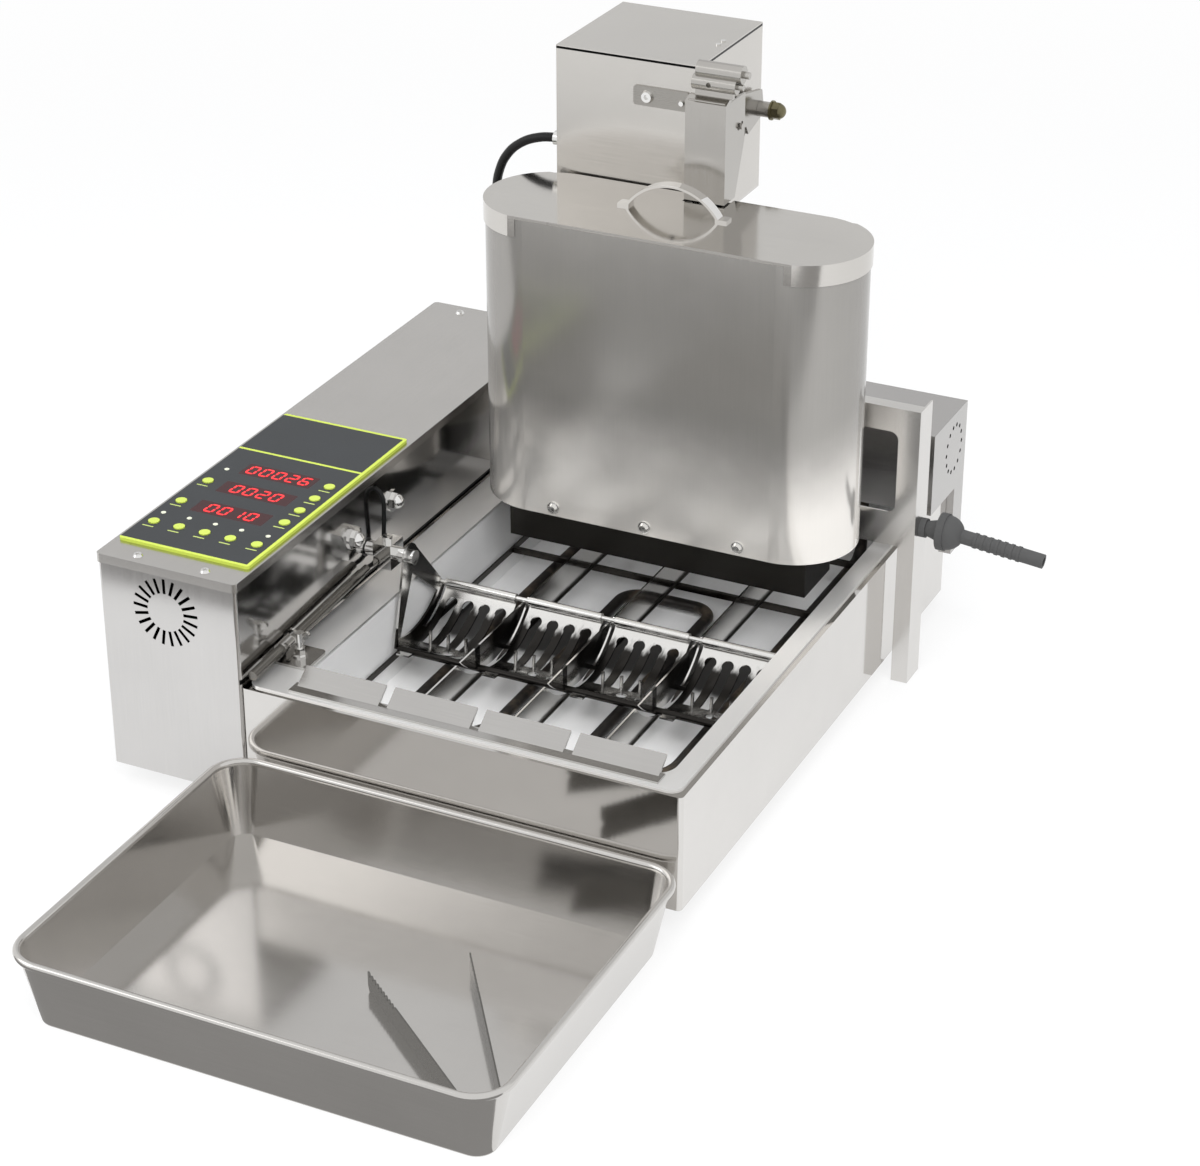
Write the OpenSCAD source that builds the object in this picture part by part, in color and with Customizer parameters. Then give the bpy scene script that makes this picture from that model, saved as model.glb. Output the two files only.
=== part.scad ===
// Four-lane table-top donut fryer with dosing hopper, turner and collecting tray.
// Millimetres, +Z up. The origin is the middle of the footprint on the table, +Y runs to the back.
// Inside the modules X = 0 is the middle of the oil tank and Y = 0 its front face.

/* [Tank] */
// Height of the rubber feet under the body
foot_h = 16; // [12:0.5:22]
// Outer width of the tank casing
tank_w = 295; // [293:1:320]
// Outer depth of the tank casing
tank_d = 446; // [440:1:470]
// Height of the tank casing with its rim
tank_h = 79; // [72:1:90]
// Width of the flange on the right, front and rear
flange_w = 16.5; // [14:0.5:18]
// Width of the flange beside the control box
flange_left = 27.5; // [25:0.5:29]
// Thickness of the bent sheet
sheet = 1.2; // [1:0.1:1.5]

/* [Control box] */
// Width of the control box
box_w = 98; // [96:1:120]
// Depth of the control box
box_d = 436; // [420:1:450]
// Height of the control box
box_h = 149; // [140:1:165]
// Outer radius of the round vent
vent_r = 23; // [16:0.5:26]
// Number of slots in the round vent
vent_n = 21; // [12:1:26]
// Radius of a key cap
key_r = 3.6; // [3:0.1:4]
// Travel of a key
key_travel = 0.5; // [0.3:0.05:0.6]

/* [Lanes] */
// Distance from lane to lane
lane_pitch = 62; // [60:0.5:62.5]
// Height of a lane divider
blade_h = 22.5; // [16:0.5:24]
// Diameter of the heating tube
element_d = 8; // [6:0.5:9]

/* [Turner] */
// Radius of the scoop about the drive shaft
scoop_r = 61; // [56:0.5:62]
// Width of a scoop
scoop_w = 52; // [46:0.5:54]
// Slots in a scoop
slot_n = 4; // [3:1:4]
// Width of a slot
slot_w = 8; // [6:0.5:9]
// Diameter of the drive shaft
shaft_d = 10; // [8:0.5:11]

/* [Hopper] */
// Length of the hopper over its round ends
hop_l = 260; // [252:1:264]
// Depth of the hopper
hop_d = 86; // [80:1:90]
// Height of the hopper's lower face above the tank's rim
hop_gap = 22; // [20:0.5:27]
// Height of the hopper without its lid
hop_h = 204; // [193:1:206]
// Outer diameter of a nozzle
nozzle_d = 26; // [22:0.5:28]
// Play between plunger and nozzle
plunger_play = 0.3; // [0.25:0.05:0.5]
// Stroke of the plungers
stroke = 7.7; // [6:0.1:7.7]

/* [Motor box] */
// Width of the motor box
mot_w = 101.5; // [95:0.5:105]
// Depth of the motor box
mot_d = 101; // [98:0.5:108]
// Height of the motor box
mot_h = 113; // [108:0.5:118]

/* [Stand] */
// Height of the stand's window frame above the tank's rim
stand_h = 105; // [95:1:115]
// Depth of the folded flange on the right
stand_fold = 22; // [20:0.5:28]

/* [Tray] */
// Length of the tray over its rim
tray_l = 312; // [290:1:330]
// Depth of the tray over its rim
tray_w = 244; // [230:1:250]
// Height of the tray
tray_h = 49; // [42:1:60]
// How far the rim stands out over the floor
tray_flare = 10; // [6:0.5:14]

/* [Hidden] */
$fn = 48;
eps = 0.01;
rim_z = foot_h + tank_h;
tx0 = -tank_w / 2;
tx1 = tank_w / 2;
bx0 = tx0 - box_w;
bxc = tx0 - box_w / 2;
bz1 = foot_h + box_h;
basin_x0 = tx0 + flange_left;
basin_x1 = tx1 - flange_w;
basin_y0 = flange_w;
basin_y1 = tank_d - flange_w;
basin_r = 14;
basin_z = foot_h + 20;
lane_cx = (basin_x0 + basin_x1) / 2;
seam = 4;
// membrane panel
panel_w = 93;
panel_d = 200;
panel_y = 20;
panel_t = 2;
panel_z = bz1;
ledge = 0.8;
key_play = 0.3;
key_lip = 0.8;
key_rise = 0.6;
key_left = -38.5;
key_right = 36;
row_y = 47.5;
led_r = 1.6;
board_y = 30;
board_l = 170;
post_in = 6;
vent_dx = -2;
vent_z = bz1 - 31;
// turner
axis_y = 158;
axis_z = rim_z + 22;
scoop_a0 = -42;
scoop_a1 = -112;
roll_r = 3;
hub_s = 17;
hub_t = 13;
hub_x = tx0 + 9;
arm_x = basin_x0 + 3;
motor_in = 34;
gland_x = tx0 - 14;
cover_y = 390;
gland_r = 4;
run_play = 0.05;
// hopper and dosing
hop_cx = lane_cx + 2;
hop_z = rim_z + hop_gap;
hop_top = hop_z + hop_h;
stand_y = 336;
hop_r = hop_d / 2;
hop_cy = stand_y - hop_r;
hop_a = hop_l / 2 - hop_r;
lid_t = 2;
lid_over = 1.2;
lid_play = 0.3;
skirt_h = 12;
nozzle_drop = 14;
bore_r = nozzle_d / 2 - 2.5;
plunger_z = hop_z - nozzle_drop + 3;
plunger_h = stroke + 1.5;
yoke_z = hop_z + 86;
rod_y = hop_cy + 35;
rod_dx = 8;
lift_x0 = 0.5;
lift_x1 = 28.5;
lift_cx = (lift_x0 + lift_x1) / 2;
lift_y = rod_y - 3;
lift_z0 = hop_top + lid_t + 1;
lift_z1 = lift_z0 + 70;
lift_d = 31;
lift_low_d = 17;
notch_x0 = lift_x0 - 0.8;
notch_w = lift_x1 - lift_x0 + 1.6;
yoke_end = 7;
block_l = 214;
block_d = 44;
block_h = 32;
// motor box
mx1 = 3.5;
mx0 = mx1 - mot_w;
my0 = stand_y + sheet + 0.8;
mz0 = hop_top - 26;
mz1 = mz0 + mot_h;
pivot_y = my0 + 86;
pivot_z = mz0 + 59;
pin_y = my0 + 7;
pin_z = pivot_z + 16;
stud_r = 4;
cable_r = 3.1;
gear_w = 52;
gear_h = 34;
gear_in = 20;
lever_x = mx1 + 2.5;
lever_t = 3;
strap_z = mz1 - 25;
// stand
stand_x1 = tx1 + 15.5;
stand_z = rim_z + stand_h;
leg_gap = 4;
window_x0 = 60;
window_r = 6;
stand_low = rim_z + 6;
gland_y = stand_y + 13;
gland_z = rim_z + 17;
sleeve_r = 4.8;
sleeve_l = 56;
sleeve_droop = 6;
cord_r = 3;
hub_x0 = stand_x1 + 13;
// heater head
head_x0 = tx0 + 9.5;
head_x1 = tx1 + 4.5;
head_y0 = tank_d - 47;
head_y1 = tank_d + 18;
head_z0 = foot_h + 28;
head_z1 = rim_z + 59;
el_r = element_d / 2;
el_z = basin_z + sheet + el_r + 3;
el_half = 30;
el_front = 78;
el_rear = tank_d - 31;
el_bend = 12;
el_loop = 298;
el_corner = 14;
// tray and tongs
tray_cx = -2;
tray_cy = -3 - tray_w / 2;
tray_rr = 24;
tray_t = 1;
roll_t = 2.4;
floor_edge = 3;
tong_x = 122;
tong_y = -202;
tong_z = tray_t + 0.02;
tong_l = 133;
tong_h = 13;
tong_t = 1;
bow_r = 11;
tong_dir = 142;
tong_open = 17;
tooth_n = 9;
tooth_p = 4.2;
tooth_d = 2.2;

// the footprint's middle, moved to X = 0 and Y = 0
reach = hub_x0 + 8 + (sleeve_l + 8) * cos(sleeve_droop) + sleeve_r * sin(sleeve_droop);
mid_x = (bx0 - 1 + reach) / 2;
mid_y = (tray_cy - tray_w / 2 + head_y1) / 2;

module place() {
    translate([-mid_x, -mid_y, 0]) children();
}

// rounded rectangle between two corners
module rrect(x0, y0, x1, y1, r) {
    translate([x0 + r, y0]) square([x1 - x0 - 2 * r, y1 - y0]);
    translate([x0, y0 + r]) square([x1 - x0, y1 - y0 - 2 * r]);
    for (x = [x0 + r, x1 - r], y = [y0 + r, y1 - r])
        translate([x, y]) circle(r);
}

module rbox(x0, y0, x1, y1, r, z0, z1) {
    translate([0, 0, z0]) linear_extrude(z1 - z0) rrect(x0, y0, x1, y1, r);
}

// stadium outline about the hopper's middle
module stadium(r, a) {
    square([2 * a, 2 * r], center = true);
    for (s = [-1, 1]) translate([s * a, 0]) circle(r);
}

// cylinder along X from x0 to x1
module rod_x(x0, x1, y, z, r) {
    translate([x0, y, z]) rotate([0, 90, 0]) cylinder(h = x1 - x0, r = r);
}

// cylinder along Y from y0 to y1
module rod_y(x, y0, y1, z, r) {
    translate([x, y0, z]) rotate([-90, 0, 0]) cylinder(h = y1 - y0, r = r);
}

module rod_z(x, y, z0, z1, r) {
    translate([x, y, z0]) cylinder(h = z1 - z0, r = r);
}

// outline in Y and Z drawn out along X
module prism_x(x0, x1) {
    translate([x0, 0, 0]) rotate([90, 0, 90]) linear_extrude(x1 - x0) children();
}

// ring sector between two angles
module sector(r1, r0, a0, a1) {
    am = (a0 + a1) / 2;
    intersection() {
        difference() {
            circle(r1, $fn = 96);
            circle(r0, $fn = 96);
        }
        polygon([[0, 0], 3 * r1 * [cos(a0), sin(a0)], 3 * r1 * [cos(am), sin(am)],
            3 * r1 * [cos(a1), sin(a1)]]);
    }
}

// tube swept along a list of points
module sweep(pts, r, sides) {
    n = len(pts);
    dirs = [for (i = [0:n - 1]) pts[min(i + 1, n - 1)] - pts[max(i - 1, 0)]];
    rings = [for (i = [0:n - 1]) let (d = dirs[i] / norm(dirs[i]),
        u0 = cross(d, [0.45, 0.6, 0.66]), u = u0 / norm(u0), v = cross(d, u))
        [for (k = [0:sides - 1]) pts[i] + r * (cos(360 * k / sides) * u + sin(360 * k / sides) * v)]];
    verts = [for (g = rings) each g];
    sidef = [for (i = [0:n - 2], k = [0:sides - 1]) let (m = (k + 1) % sides)
        [i * sides + k, i * sides + m, (i + 1) * sides + m, (i + 1) * sides + k]];
    ends = [[for (k = [sides - 1:-1:0]) k], [for (k = [0:sides - 1]) (n - 1) * sides + k]];
    polyhedron(verts, concat(sidef, ends), convexity = 6);
}

module tank_casing() {
    color([0.72, 0.71, 0.69]) difference() {
        rbox(tx0, 0, tx1, tank_d, 3, foot_h, rim_z - sheet);
        rbox(tx0 + sheet, sheet, tx1 - sheet, tank_d - sheet, 2, foot_h + sheet, rim_z - 2 * sheet);
        rbox(tx0 + 9, 9, tx1 - 9, tank_d - 9, 6, rim_z - 3 * sheet, rim_z);
    }
}

module basin() {
    color([0.8, 0.79, 0.77]) difference() {
        union() {
            rbox(tx0 + 2, seam, tx1 - seam, tank_d - seam, 8, rim_z - sheet, rim_z);
            rbox(basin_x0 - sheet, basin_y0 - sheet, basin_x1 + sheet, basin_y1 + sheet, basin_r + sheet,
                basin_z, rim_z - sheet / 2);
        }
        rbox(basin_x0, basin_y0, basin_x1, basin_y1, basin_r, basin_z + sheet, rim_z + 1);
    }
}

module feet() {
    color([0.12, 0.12, 0.12])
    for (f = [[bxc - 18, box_d - 46], [tx1 - 36, tank_d - 56]], y = [46, f[1]])
        translate([f[0], y, 0]) {
            cylinder(h = 3, r1 = 11, r2 = 12);
            translate([0, 0, 3]) cylinder(h = foot_h - 3, r1 = 12, r2 = 10);
        }
}

module control_housing() {
    color([0.78, 0.78, 0.76]) difference() {
        rbox(bx0, 0, tx0, box_d, 2, foot_h + sheet, bz1 - sheet);
        rbox(bx0 + sheet, sheet, tx0 - sheet, box_d - sheet, 1, foot_h, bz1);
        translate([bxc + vent_dx, 0, vent_z]) vent_cut();
        rod_x(tx0 - 4, tx0 + 1, axis_y, axis_z, shaft_d / 2 + 1.5);
        rod_x(tx0 - 4, tx0 + 1, axis_y + 12, bz1 - 11, 2.2);
    }
}

// round vent: radial slots cut through the front wall
module vent_cut() {
    slot = 0.44 * vent_r;
    wide = 2 * PI * vent_r * 0.3 / vent_n;
    for (i = [0:vent_n - 1])
        rotate([0, i * 360 / vent_n, 0])
            translate([-wide / 2, -1, vent_r - slot]) cube([wide, 5, slot]);
}

module control_cover() {
    color([0.8, 0.8, 0.78]) difference() {
        rbox(bx0 - 1, -1, tx0 + 1, box_d + 1, 3, bz1 - 6, bz1);
        rbox(bx0, 0, tx0, box_d, 2, bz1 - 7, bz1 - sheet);
        rod_z(gland_x, cover_y, bz1 - 3, bz1 + 1, gland_r);
    }
}

module control_base() {
    color([0.6, 0.6, 0.6]) rbox(bx0, 0, tx0, box_d, 2, foot_h, foot_h + sheet);
}

module cover_screws() {
    color([0.85, 0.85, 0.85])
    for (p = [[bxc + 24, 7], [bxc - 24, 7], [bxc + 24, box_d - 10], [bxc - 24, box_d - 10]])
        translate([p[0], p[1], bz1]) difference() {
            cylinder(h = 1.4, r1 = 3.2, r2 = 2.4, $fn = 32);
            for (a = [0, 90]) rotate(a) translate([-1.6, -0.3, 0.8]) cube([3.2, 0.6, 1]);
        }
}

// places of the round keys, from the panel's middle
function key_at(i) =
    i <= 2 ? [key_left, row_y + 31.5 * i] :
    i <= 5 ? [key_left + 18.5 * (i - 2), row_y] :
    i == 6 ? [key_right, row_y] :
    [key_right, row_y + 33 + 18.5 * (i - 7)];

module panel_overlay() {
    color([0.2, 0.21, 0.22]) difference() {
        rbox(bxc - panel_w / 2, panel_y, bxc + panel_w / 2, panel_y + panel_d, 2, panel_z, panel_z + panel_t);
        for (i = [0:10]) translate([bxc + key_at(i)[0], key_at(i)[1], 0]) {
            rod_z(0, 0, panel_z - 1, panel_z + panel_t + 1, key_r + key_play);
            rod_z(0, 0, panel_z - 1, panel_z + panel_t - ledge, key_r + key_lip + key_play);
        }
        for (y = [78, 108, 136])
            rbox(bxc - 27, y - 8, bxc + 25, y + 8, 1, panel_z - 1, panel_z + panel_t + 1);
        for (p = led_places()) rod_z(bxc + p[0], p[1], panel_z - 1, panel_z + panel_t + 1, led_r);
    }
}

// places of the small lights, from the panel's middle
function led_places() = concat([for (i = [0:4]) [key_left - 1 + 19 * i, 60]], [[key_left + 2, 130]]);

module key(i) {
    p = key_at(i);
    top = panel_z + panel_t;
    color([0.78, 0.86, 0.3]) translate([bxc + p[0], p[1], 0]) {
        rod_z(0, 0, panel_z + key_travel + run_play, top + key_rise, key_r);
        rod_z(0, 0, panel_z + key_travel + run_play, top - ledge - run_play, key_r + key_lip);
    }
}

module digit_windows() {
    color([0.25, 0.05, 0.06])
    for (y = [78, 108, 136])
        rbox(bxc - 27, y - 8, bxc + 25, y + 8, 1, panel_z, panel_z + panel_t);
}

module indicator_lights() {
    color([0.9, 0.9, 0.8])
    for (p = led_places()) rod_z(bxc + p[0], p[1], panel_z, panel_z + panel_t + 0.3, led_r);
}

module control_board() {
    z = bz1 - sheet - 12;
    color([0.1, 0.35, 0.2]) {
        difference() {
            translate([bxc - 40, board_y, z]) cube([80, board_l, 1.6]);
            for (x = [-36, 36], y = [board_y + post_in, board_y + board_l - post_in])
                rod_z(bxc + x, y, z - 1, z + 3, 1.5);
        }
        for (x = [-36, 36], y = [board_y + post_in, board_y + board_l - post_in])
            rod_z(bxc + x, y, z, bz1 - sheet, 2.5);
        for (y = [78, 108, 136]) translate([bxc - 25, y - 6, z]) cube([48, 12, 8]);
        translate([bxc - 20, 170, z]) cube([40, 18, 6]);
    }
}

module turner_motor() {
    color([0.35, 0.36, 0.38]) difference() {
        union() {
            translate([tx0 - sheet - motor_in, axis_y - 28, axis_z - 26]) cube([motor_in, 62, 46]);
            rod_x(bx0 + 16, tx0 - sheet - motor_in, axis_y + 6, axis_z - 2, 19);
        }
        rod_x(tx0 - sheet - 26, tx0, axis_y, axis_z, shaft_d / 2 + run_play);
    }
}

module dome_nuts() {
    color([0.85, 0.84, 0.82])
    for (p = [[axis_y - 17, axis_z + 14], [axis_y + 35, axis_z + 18]])
        translate([tx0, p[0], p[1]]) rotate([0, 90, 0]) {
            cylinder(h = 1.2, r = 7.5);
            cylinder(h = 4, r = 5.8, $fn = 6);
            translate([0, 0, 3]) intersection() {
                sphere(5);
                cylinder(h = 6, r = 6);
            }
        }
}

probe_x = tx0 + 5;
probe_y = 6;
probe_z = rim_z + 5.2;
probe_r = 3.2;
probe_l = 142;
probe_tilt = 2.9;
probe_end = [probe_x, probe_y + probe_l * cos(probe_tilt), probe_z + probe_l * sin(probe_tilt)];

// line of the probe, rising slightly to the back
module probe_line() {
    translate([probe_x, probe_y, probe_z]) rotate([probe_tilt, 0, 0]) children();
}

module probe_rod() {
    color([0.55, 0.53, 0.5]) probe_line() {
        rod_y(0, 0, probe_l - 8, 0, probe_r);
        rod_y(0, probe_l - 8, probe_l, 0, probe_r - 0.6);
    }
}

// route of the lead from the wall, behind the shaft, into the probe's rear end
lead_y = axis_y + 12;
probe_route = [[tx0 - 4, lead_y, bz1 - 11], [tx0 - 1, lead_y, bz1 - 11], [tx0 + 2.5, lead_y, bz1 - 12],
    [tx0 + 5.2, lead_y, bz1 - 15], [tx0 + 6.4, lead_y, bz1 - 20], [tx0 + 6.4, lead_y, bz1 - 28],
    [tx0 + 6, lead_y, bz1 - 38], [probe_x + 0.5, lead_y - 0.5, bz1 - 47], [probe_x, lead_y - 3, bz1 - 53],
    [probe_x, lead_y - 8, bz1 - 57], [probe_x, lead_y - 14, bz1 - 58.2], [probe_x, lead_y - 19, bz1 - 57.8],
    probe_end];

module probe_lead() {
    color([0.07, 0.07, 0.07]) sweep(probe_route, 1.5, 8);
}

clamp_y = 46;
clamp_r = 4.4;

module probe_clamp() {
    color([0.7, 0.69, 0.67]) difference() {
        union() {
            rbox(tx0 + 2, clamp_y - 13, basin_x0 - 1, clamp_y + 13, 3, rim_z, rim_z + 1.6);
            translate([probe_x - 3, clamp_y - 6, rim_z + 1]) cube([6, 12, 4]);
            probe_line() rod_y(0, clamp_y - probe_y - 7, clamp_y - probe_y + 7, 0, clamp_r);
        }
        probe_line() rod_y(0, -2, probe_l, 0, probe_r);
    }
}

// tall bolt with two wings over the clamp
module wing_bolt() {
    color([0.86, 0.85, 0.83]) translate([basin_x0 - 12.5, clamp_y, rim_z + 1.6]) {
        cylinder(h = 1, r = 4.4);
        cylinder(h = 6, r = 3.6, $fn = 6);
        cylinder(h = 15, r = 2);
        translate([0, 0, 10.5]) cylinder(h = 6, r = 3);
        for (s = [0, 180]) rotate(s) translate([1.6, -1, 11]) rotate([0, -32, 0]) {
            cube([5.6, 2, 4.4]);
            translate([5.6, 2, 2.2]) rotate([90, 0, 0]) cylinder(h = 2, r = 2.2);
        }
    }
}

blade_top = rim_z - 18.5;
blade_z = blade_top - blade_h;
lane_y0 = 34;
rear_end = head_y0 - 8;

// dividers with a lower rail, parted round the turner, on cross bars with four legs
module lane_frame() {
    bar_z = blade_z - 4;
    color([0.75, 0.74, 0.72]) {
        difference() {
            for (i = [-1:1]) {
                x = lane_cx + i * lane_pitch;
                translate([x - 0.6, lane_y0, blade_z]) cube([1.2, rear_end - lane_y0, blade_h]);
                rod_y(x, lane_y0 + 2, rear_end - 2, blade_z, 1.4);
            }
            rod_x(basin_x0, basin_x1, axis_y, axis_z, scoop_r + 3.5);
        }
        for (y = [lane_y0 + 6, lane_y0 + 24, el_loop + 8, rear_end - 6])
            translate([basin_x0 + 0.4, y, bar_z]) cube([basin_x1 - basin_x0 - 0.8, 3, 4 + eps]);
        for (x = [basin_x0 + 0.4, basin_x1 - 1.6])
            translate([x, lane_y0, bar_z]) cube([1.2, rear_end - lane_y0, 4 + eps]);
        for (x = [basin_x0 + 12, basin_x1 - 12], y = [lane_y0 + 7.5, rear_end - 4.5])
            rod_z(x, y, basin_z + sheet, bar_z + 2, 2);
    }
}

// exit slide: strip on the front flange with one raised tab for each lane
module exit_slide() {
    rise = 8;
    run = 9;
    tab = scoop_w / 2 + 2;
    color([0.78, 0.77, 0.75]) {
        translate([basin_x0 + 2, seam + 3, rim_z])
            cube([basin_x1 - basin_x0 - 4, flange_w - seam - 2, sheet]);
        for (i = [0:3]) {
            x = lane_cx + (i - 1.5) * lane_pitch;
            prism_x(x - tab, x + tab)
                polygon([[flange_w - 1, rim_z], [flange_w + run, rim_z + rise],
                    [flange_w + run, rim_z + rise + 1.6], [flange_w - 3, rim_z + sheet],
                    [flange_w - 3, rim_z]]);
        }
    }
}

// one tube: up from both outer legs, round two front bends and one rear loop
module heating_element() {
    inner = lane_pitch - el_half;
    outer = lane_pitch + el_half;
    color([0.16, 0.15, 0.14]) translate([lane_cx, 0, 0]) {
        for (s = [-1, 1]) {
            rod_y(s * outer, el_front + el_half, el_rear - el_bend, el_z, el_r);
            translate([s * outer, el_rear - el_bend, el_z + el_bend]) rotate([0, 90, 0])
                rotate_extrude(angle = 90) translate([el_bend, 0]) circle(el_r);
            rod_z(s * outer, el_rear, el_z + el_bend, rim_z + 18, el_r);
            translate([s * lane_pitch, el_front + el_half, el_z]) rotate(180)
                rotate_extrude(angle = 180) translate([el_half, 0]) circle(el_r);
            rod_y(s * inner, el_front + el_half, el_loop - el_corner, el_z, el_r);
            translate([s * (inner - el_corner), el_loop - el_corner, el_z]) rotate(45 - 45 * s)
                rotate_extrude(angle = 90) translate([el_corner, 0]) circle(el_r);
        }
        rod_x(el_corner - inner, inner - el_corner, el_loop, el_z, el_r);
    }
}

module turner_shaft() {
    color([0.86, 0.85, 0.84]) rod_x(tx0 - sheet - 24, arm_x + 5, axis_y, axis_z, shaft_d / 2);
}

function polar(r, a) = [axis_y + r * cos(a), axis_z + r * sin(a)];
roll_p = polar(scoop_r - roll_r - 0.4, scoop_a0);
scoop_x0 = lane_cx - 1.5 * lane_pitch - scoop_w / 2;
scoop_x1 = lane_cx + 1.5 * lane_pitch + scoop_w / 2;

// four scoops: slotted shells under a rolled edge, joined by divider plates and a lower bar
module turner_scoops() {
    lip = polar(scoop_r - 0.6, scoop_a1);
    slot_pitch = scoop_w / (slot_n + 0.35);
    color([0.62, 0.61, 0.59]) difference() {
        union() {
            for (i = [0:3]) {
                x = lane_cx + (i - 1.5) * lane_pitch;
                prism_x(x - scoop_w / 2, x + scoop_w / 2) translate([axis_y, axis_z])
                    sector(scoop_r, scoop_r - 1.2, scoop_a0, scoop_a1);
                rod_x(x - scoop_w / 2, x + scoop_w / 2, roll_p[0], roll_p[1], roll_r);
                // front tab and short pins
                translate([x - scoop_w / 2 + 3, lip[0], lip[1]]) rotate([scoop_a1 + 90 + 14, 0, 0])
                    translate([0, -9, -0.6]) cube([9, 10, 1.2]);
                for (k = [-1:1]) translate([x + k * 13, axis_y, axis_z]) rotate([scoop_a1 + 90 + 18, 0, 0])
                    translate([0, 0, -scoop_r + 0.6]) cylinder(h = 11, r = 1.1, $fn = 24);
            }
            for (i = [-1:1]) prism_x(lane_cx + i * lane_pitch - 0.6, lane_cx + i * lane_pitch + 0.6)
                translate([axis_y, axis_z]) intersection() {
                    circle(scoop_r, $fn = 96);
                    translate([-scoop_r, -scoop_r - 1])
                        square([2 * scoop_r, blade_top - axis_z + scoop_r + 1]);
                }
            for (i = [-1:1]) rod_x(lane_cx + i * lane_pitch - 6, lane_cx + i * lane_pitch + 6,
                polar(scoop_r - 1.8, -78)[0], polar(scoop_r - 1.8, -78)[1], 1.6);
            rod_x(scoop_x0, scoop_x1, lip[0], lip[1], 2.4);
            turner_arm();
        }
        for (i = [0:3], k = [0:slot_n - 1]) {
            x = lane_cx + (i - 1.5) * lane_pitch + (k - (slot_n - 1) / 2) * slot_pitch;
            prism_x(x - slot_w / 2 + 0.8, x + slot_w / 2 - 0.8) translate([axis_y, axis_z])
                sector(scoop_r + 1, scoop_r - 3, -54, -92);
            translate([x, axis_y, axis_z]) rotate([36, 0, 0])
                translate([0, 0, -scoop_r - 1]) cylinder(h = 4, r = slot_w / 2, $fn = 32);
        }
        for (i = [0:3], k = [0:1])
            translate([lane_cx + (i - 1.5) * lane_pitch + 3 + k * 13, axis_y, axis_z])
                rotate([-10, 0, 0]) translate([0, 0, -scoop_r - 1]) cylinder(h = 4, r = 3.6, $fn = 32);
        rod_x(scoop_x0 - 9, scoop_x1 + 1, roll_p[0], roll_p[1], 1.6);
    }
}

// open arm from the shaft down to both edges of the first scoop
module turner_arm() {
    p0 = polar(scoop_r, scoop_a0);
    p1 = polar(scoop_r, scoop_a1);
    difference() {
        prism_x(arm_x, arm_x + 1.5) union() {
            translate([axis_y, axis_z]) circle(9);
            polygon([[axis_y - 8, axis_z - 4], [axis_y + 8, axis_z + 4], p0, p0 - [5, 5]]);
            polygon([[axis_y - 9, axis_z], [axis_y + 5, axis_z - 6], p1 + [4, 1], p1]);
            translate([axis_y, axis_z]) sector(scoop_r, scoop_r - 7, scoop_a0, scoop_a1);
        }
        rod_x(arm_x - 1, arm_x + 3, axis_y, axis_z, shaft_d / 2);
    }
    prism_x(arm_x, scoop_x0 + 1) translate([axis_y, axis_z])
        sector(scoop_r, scoop_r - 1.2, scoop_a0 - 34, scoop_a1);
}

module turner_rod() {
    color([0.85, 0.84, 0.82]) rod_x(arm_x + 1.5, scoop_x1 + 1, roll_p[0], roll_p[1], 1.6);
}

module drive_hub() {
    color([0.84, 0.83, 0.81]) difference() {
        union() {
            translate([hub_x, axis_y - hub_s / 2, axis_z - hub_s / 2]) cube([hub_t, hub_s, hub_s]);
            rod_z(hub_x + hub_t / 2, axis_y, axis_z, axis_z + hub_s / 2 + 3, 3.4);
        }
        rod_x(hub_x - 1, hub_x + hub_t + 1, axis_y, axis_z, shaft_d / 2);
        translate([hub_x - 1, axis_y - 0.5, axis_z + hub_s / 2 + 2]) cube([hub_t + 2, 1, 2]);
    }
}

module stand() {
    t = sheet;
    color([0.76, 0.75, 0.74]) {
        difference() {
            translate([tx0, stand_y, stand_low]) cube([stand_x1 - tx0, t, stand_z - stand_low]);
            translate([0, stand_y - 1, 0]) rotate([90, 0, 0]) mirror([0, 0, 1])
                rbox(window_x0, stand_low + 24, tx1 + 1, stand_z - 17, window_r, 0, 4);
            translate([tx0 - 1, stand_y - 1, bz1 - 7]) cube([2.2, 4, stand_z]);
        }
        translate([tx1 + leg_gap, stand_y, 0]) cube([stand_x1 - tx1 - leg_gap, t, stand_low + 10]);
        difference() {
            translate([stand_x1 - t, stand_y, 0]) cube([t, stand_fold, stand_z]);
            rod_x(stand_x1 - 3, stand_x1 + 1, gland_y, gland_z, cord_r + 1);
        }
        translate([tx0, stand_y, stand_low]) cube([t, 20, 50]);
        translate([tx1 + leg_gap, stand_y, 0]) cube([stand_x1 - tx1 - leg_gap, stand_fold, t]);
        translate([-40, stand_y, stand_z - t]) cube([stand_x1 + 40, 10, t]);
        // upright and shelf under the motor box
        translate([mx0 + 6, stand_y, stand_z - 1]) cube([mot_w - 12, t, mz0 - stand_z + 1]);
        translate([mx0, stand_y, mz0 - t]) cube([mot_w, my0 + mot_d - stand_y, t]);
        for (x = [mx0 + 6, mx1 - 6 - t]) prism_x(x, x + t)
            polygon([[stand_y, stand_z], [stand_y + 12, stand_z], [stand_y + mot_d - 30, mz0 - t / 2],
                [stand_y, mz0 - t / 2]]);
    }
}

module hopper() {
    color([0.74, 0.72, 0.7]) translate([hop_cx, hop_cy, 0]) difference() {
        translate([0, 0, hop_z]) linear_extrude(hop_top - hop_z) stadium(hop_r, hop_a);
        translate([0, 0, hop_z + sheet]) linear_extrude(hop_top) stadium(hop_r - sheet, hop_a);
        for (i = [0:3])
            rod_z(lane_cx - hop_cx + (i - 1.5) * lane_pitch, 0, hop_z - 1, hop_z + 5, nozzle_d / 2);
    }
}

module lid_outline(grow) {
    translate([hop_cx, hop_cy]) stadium(hop_r + grow, hop_a);
}

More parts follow.
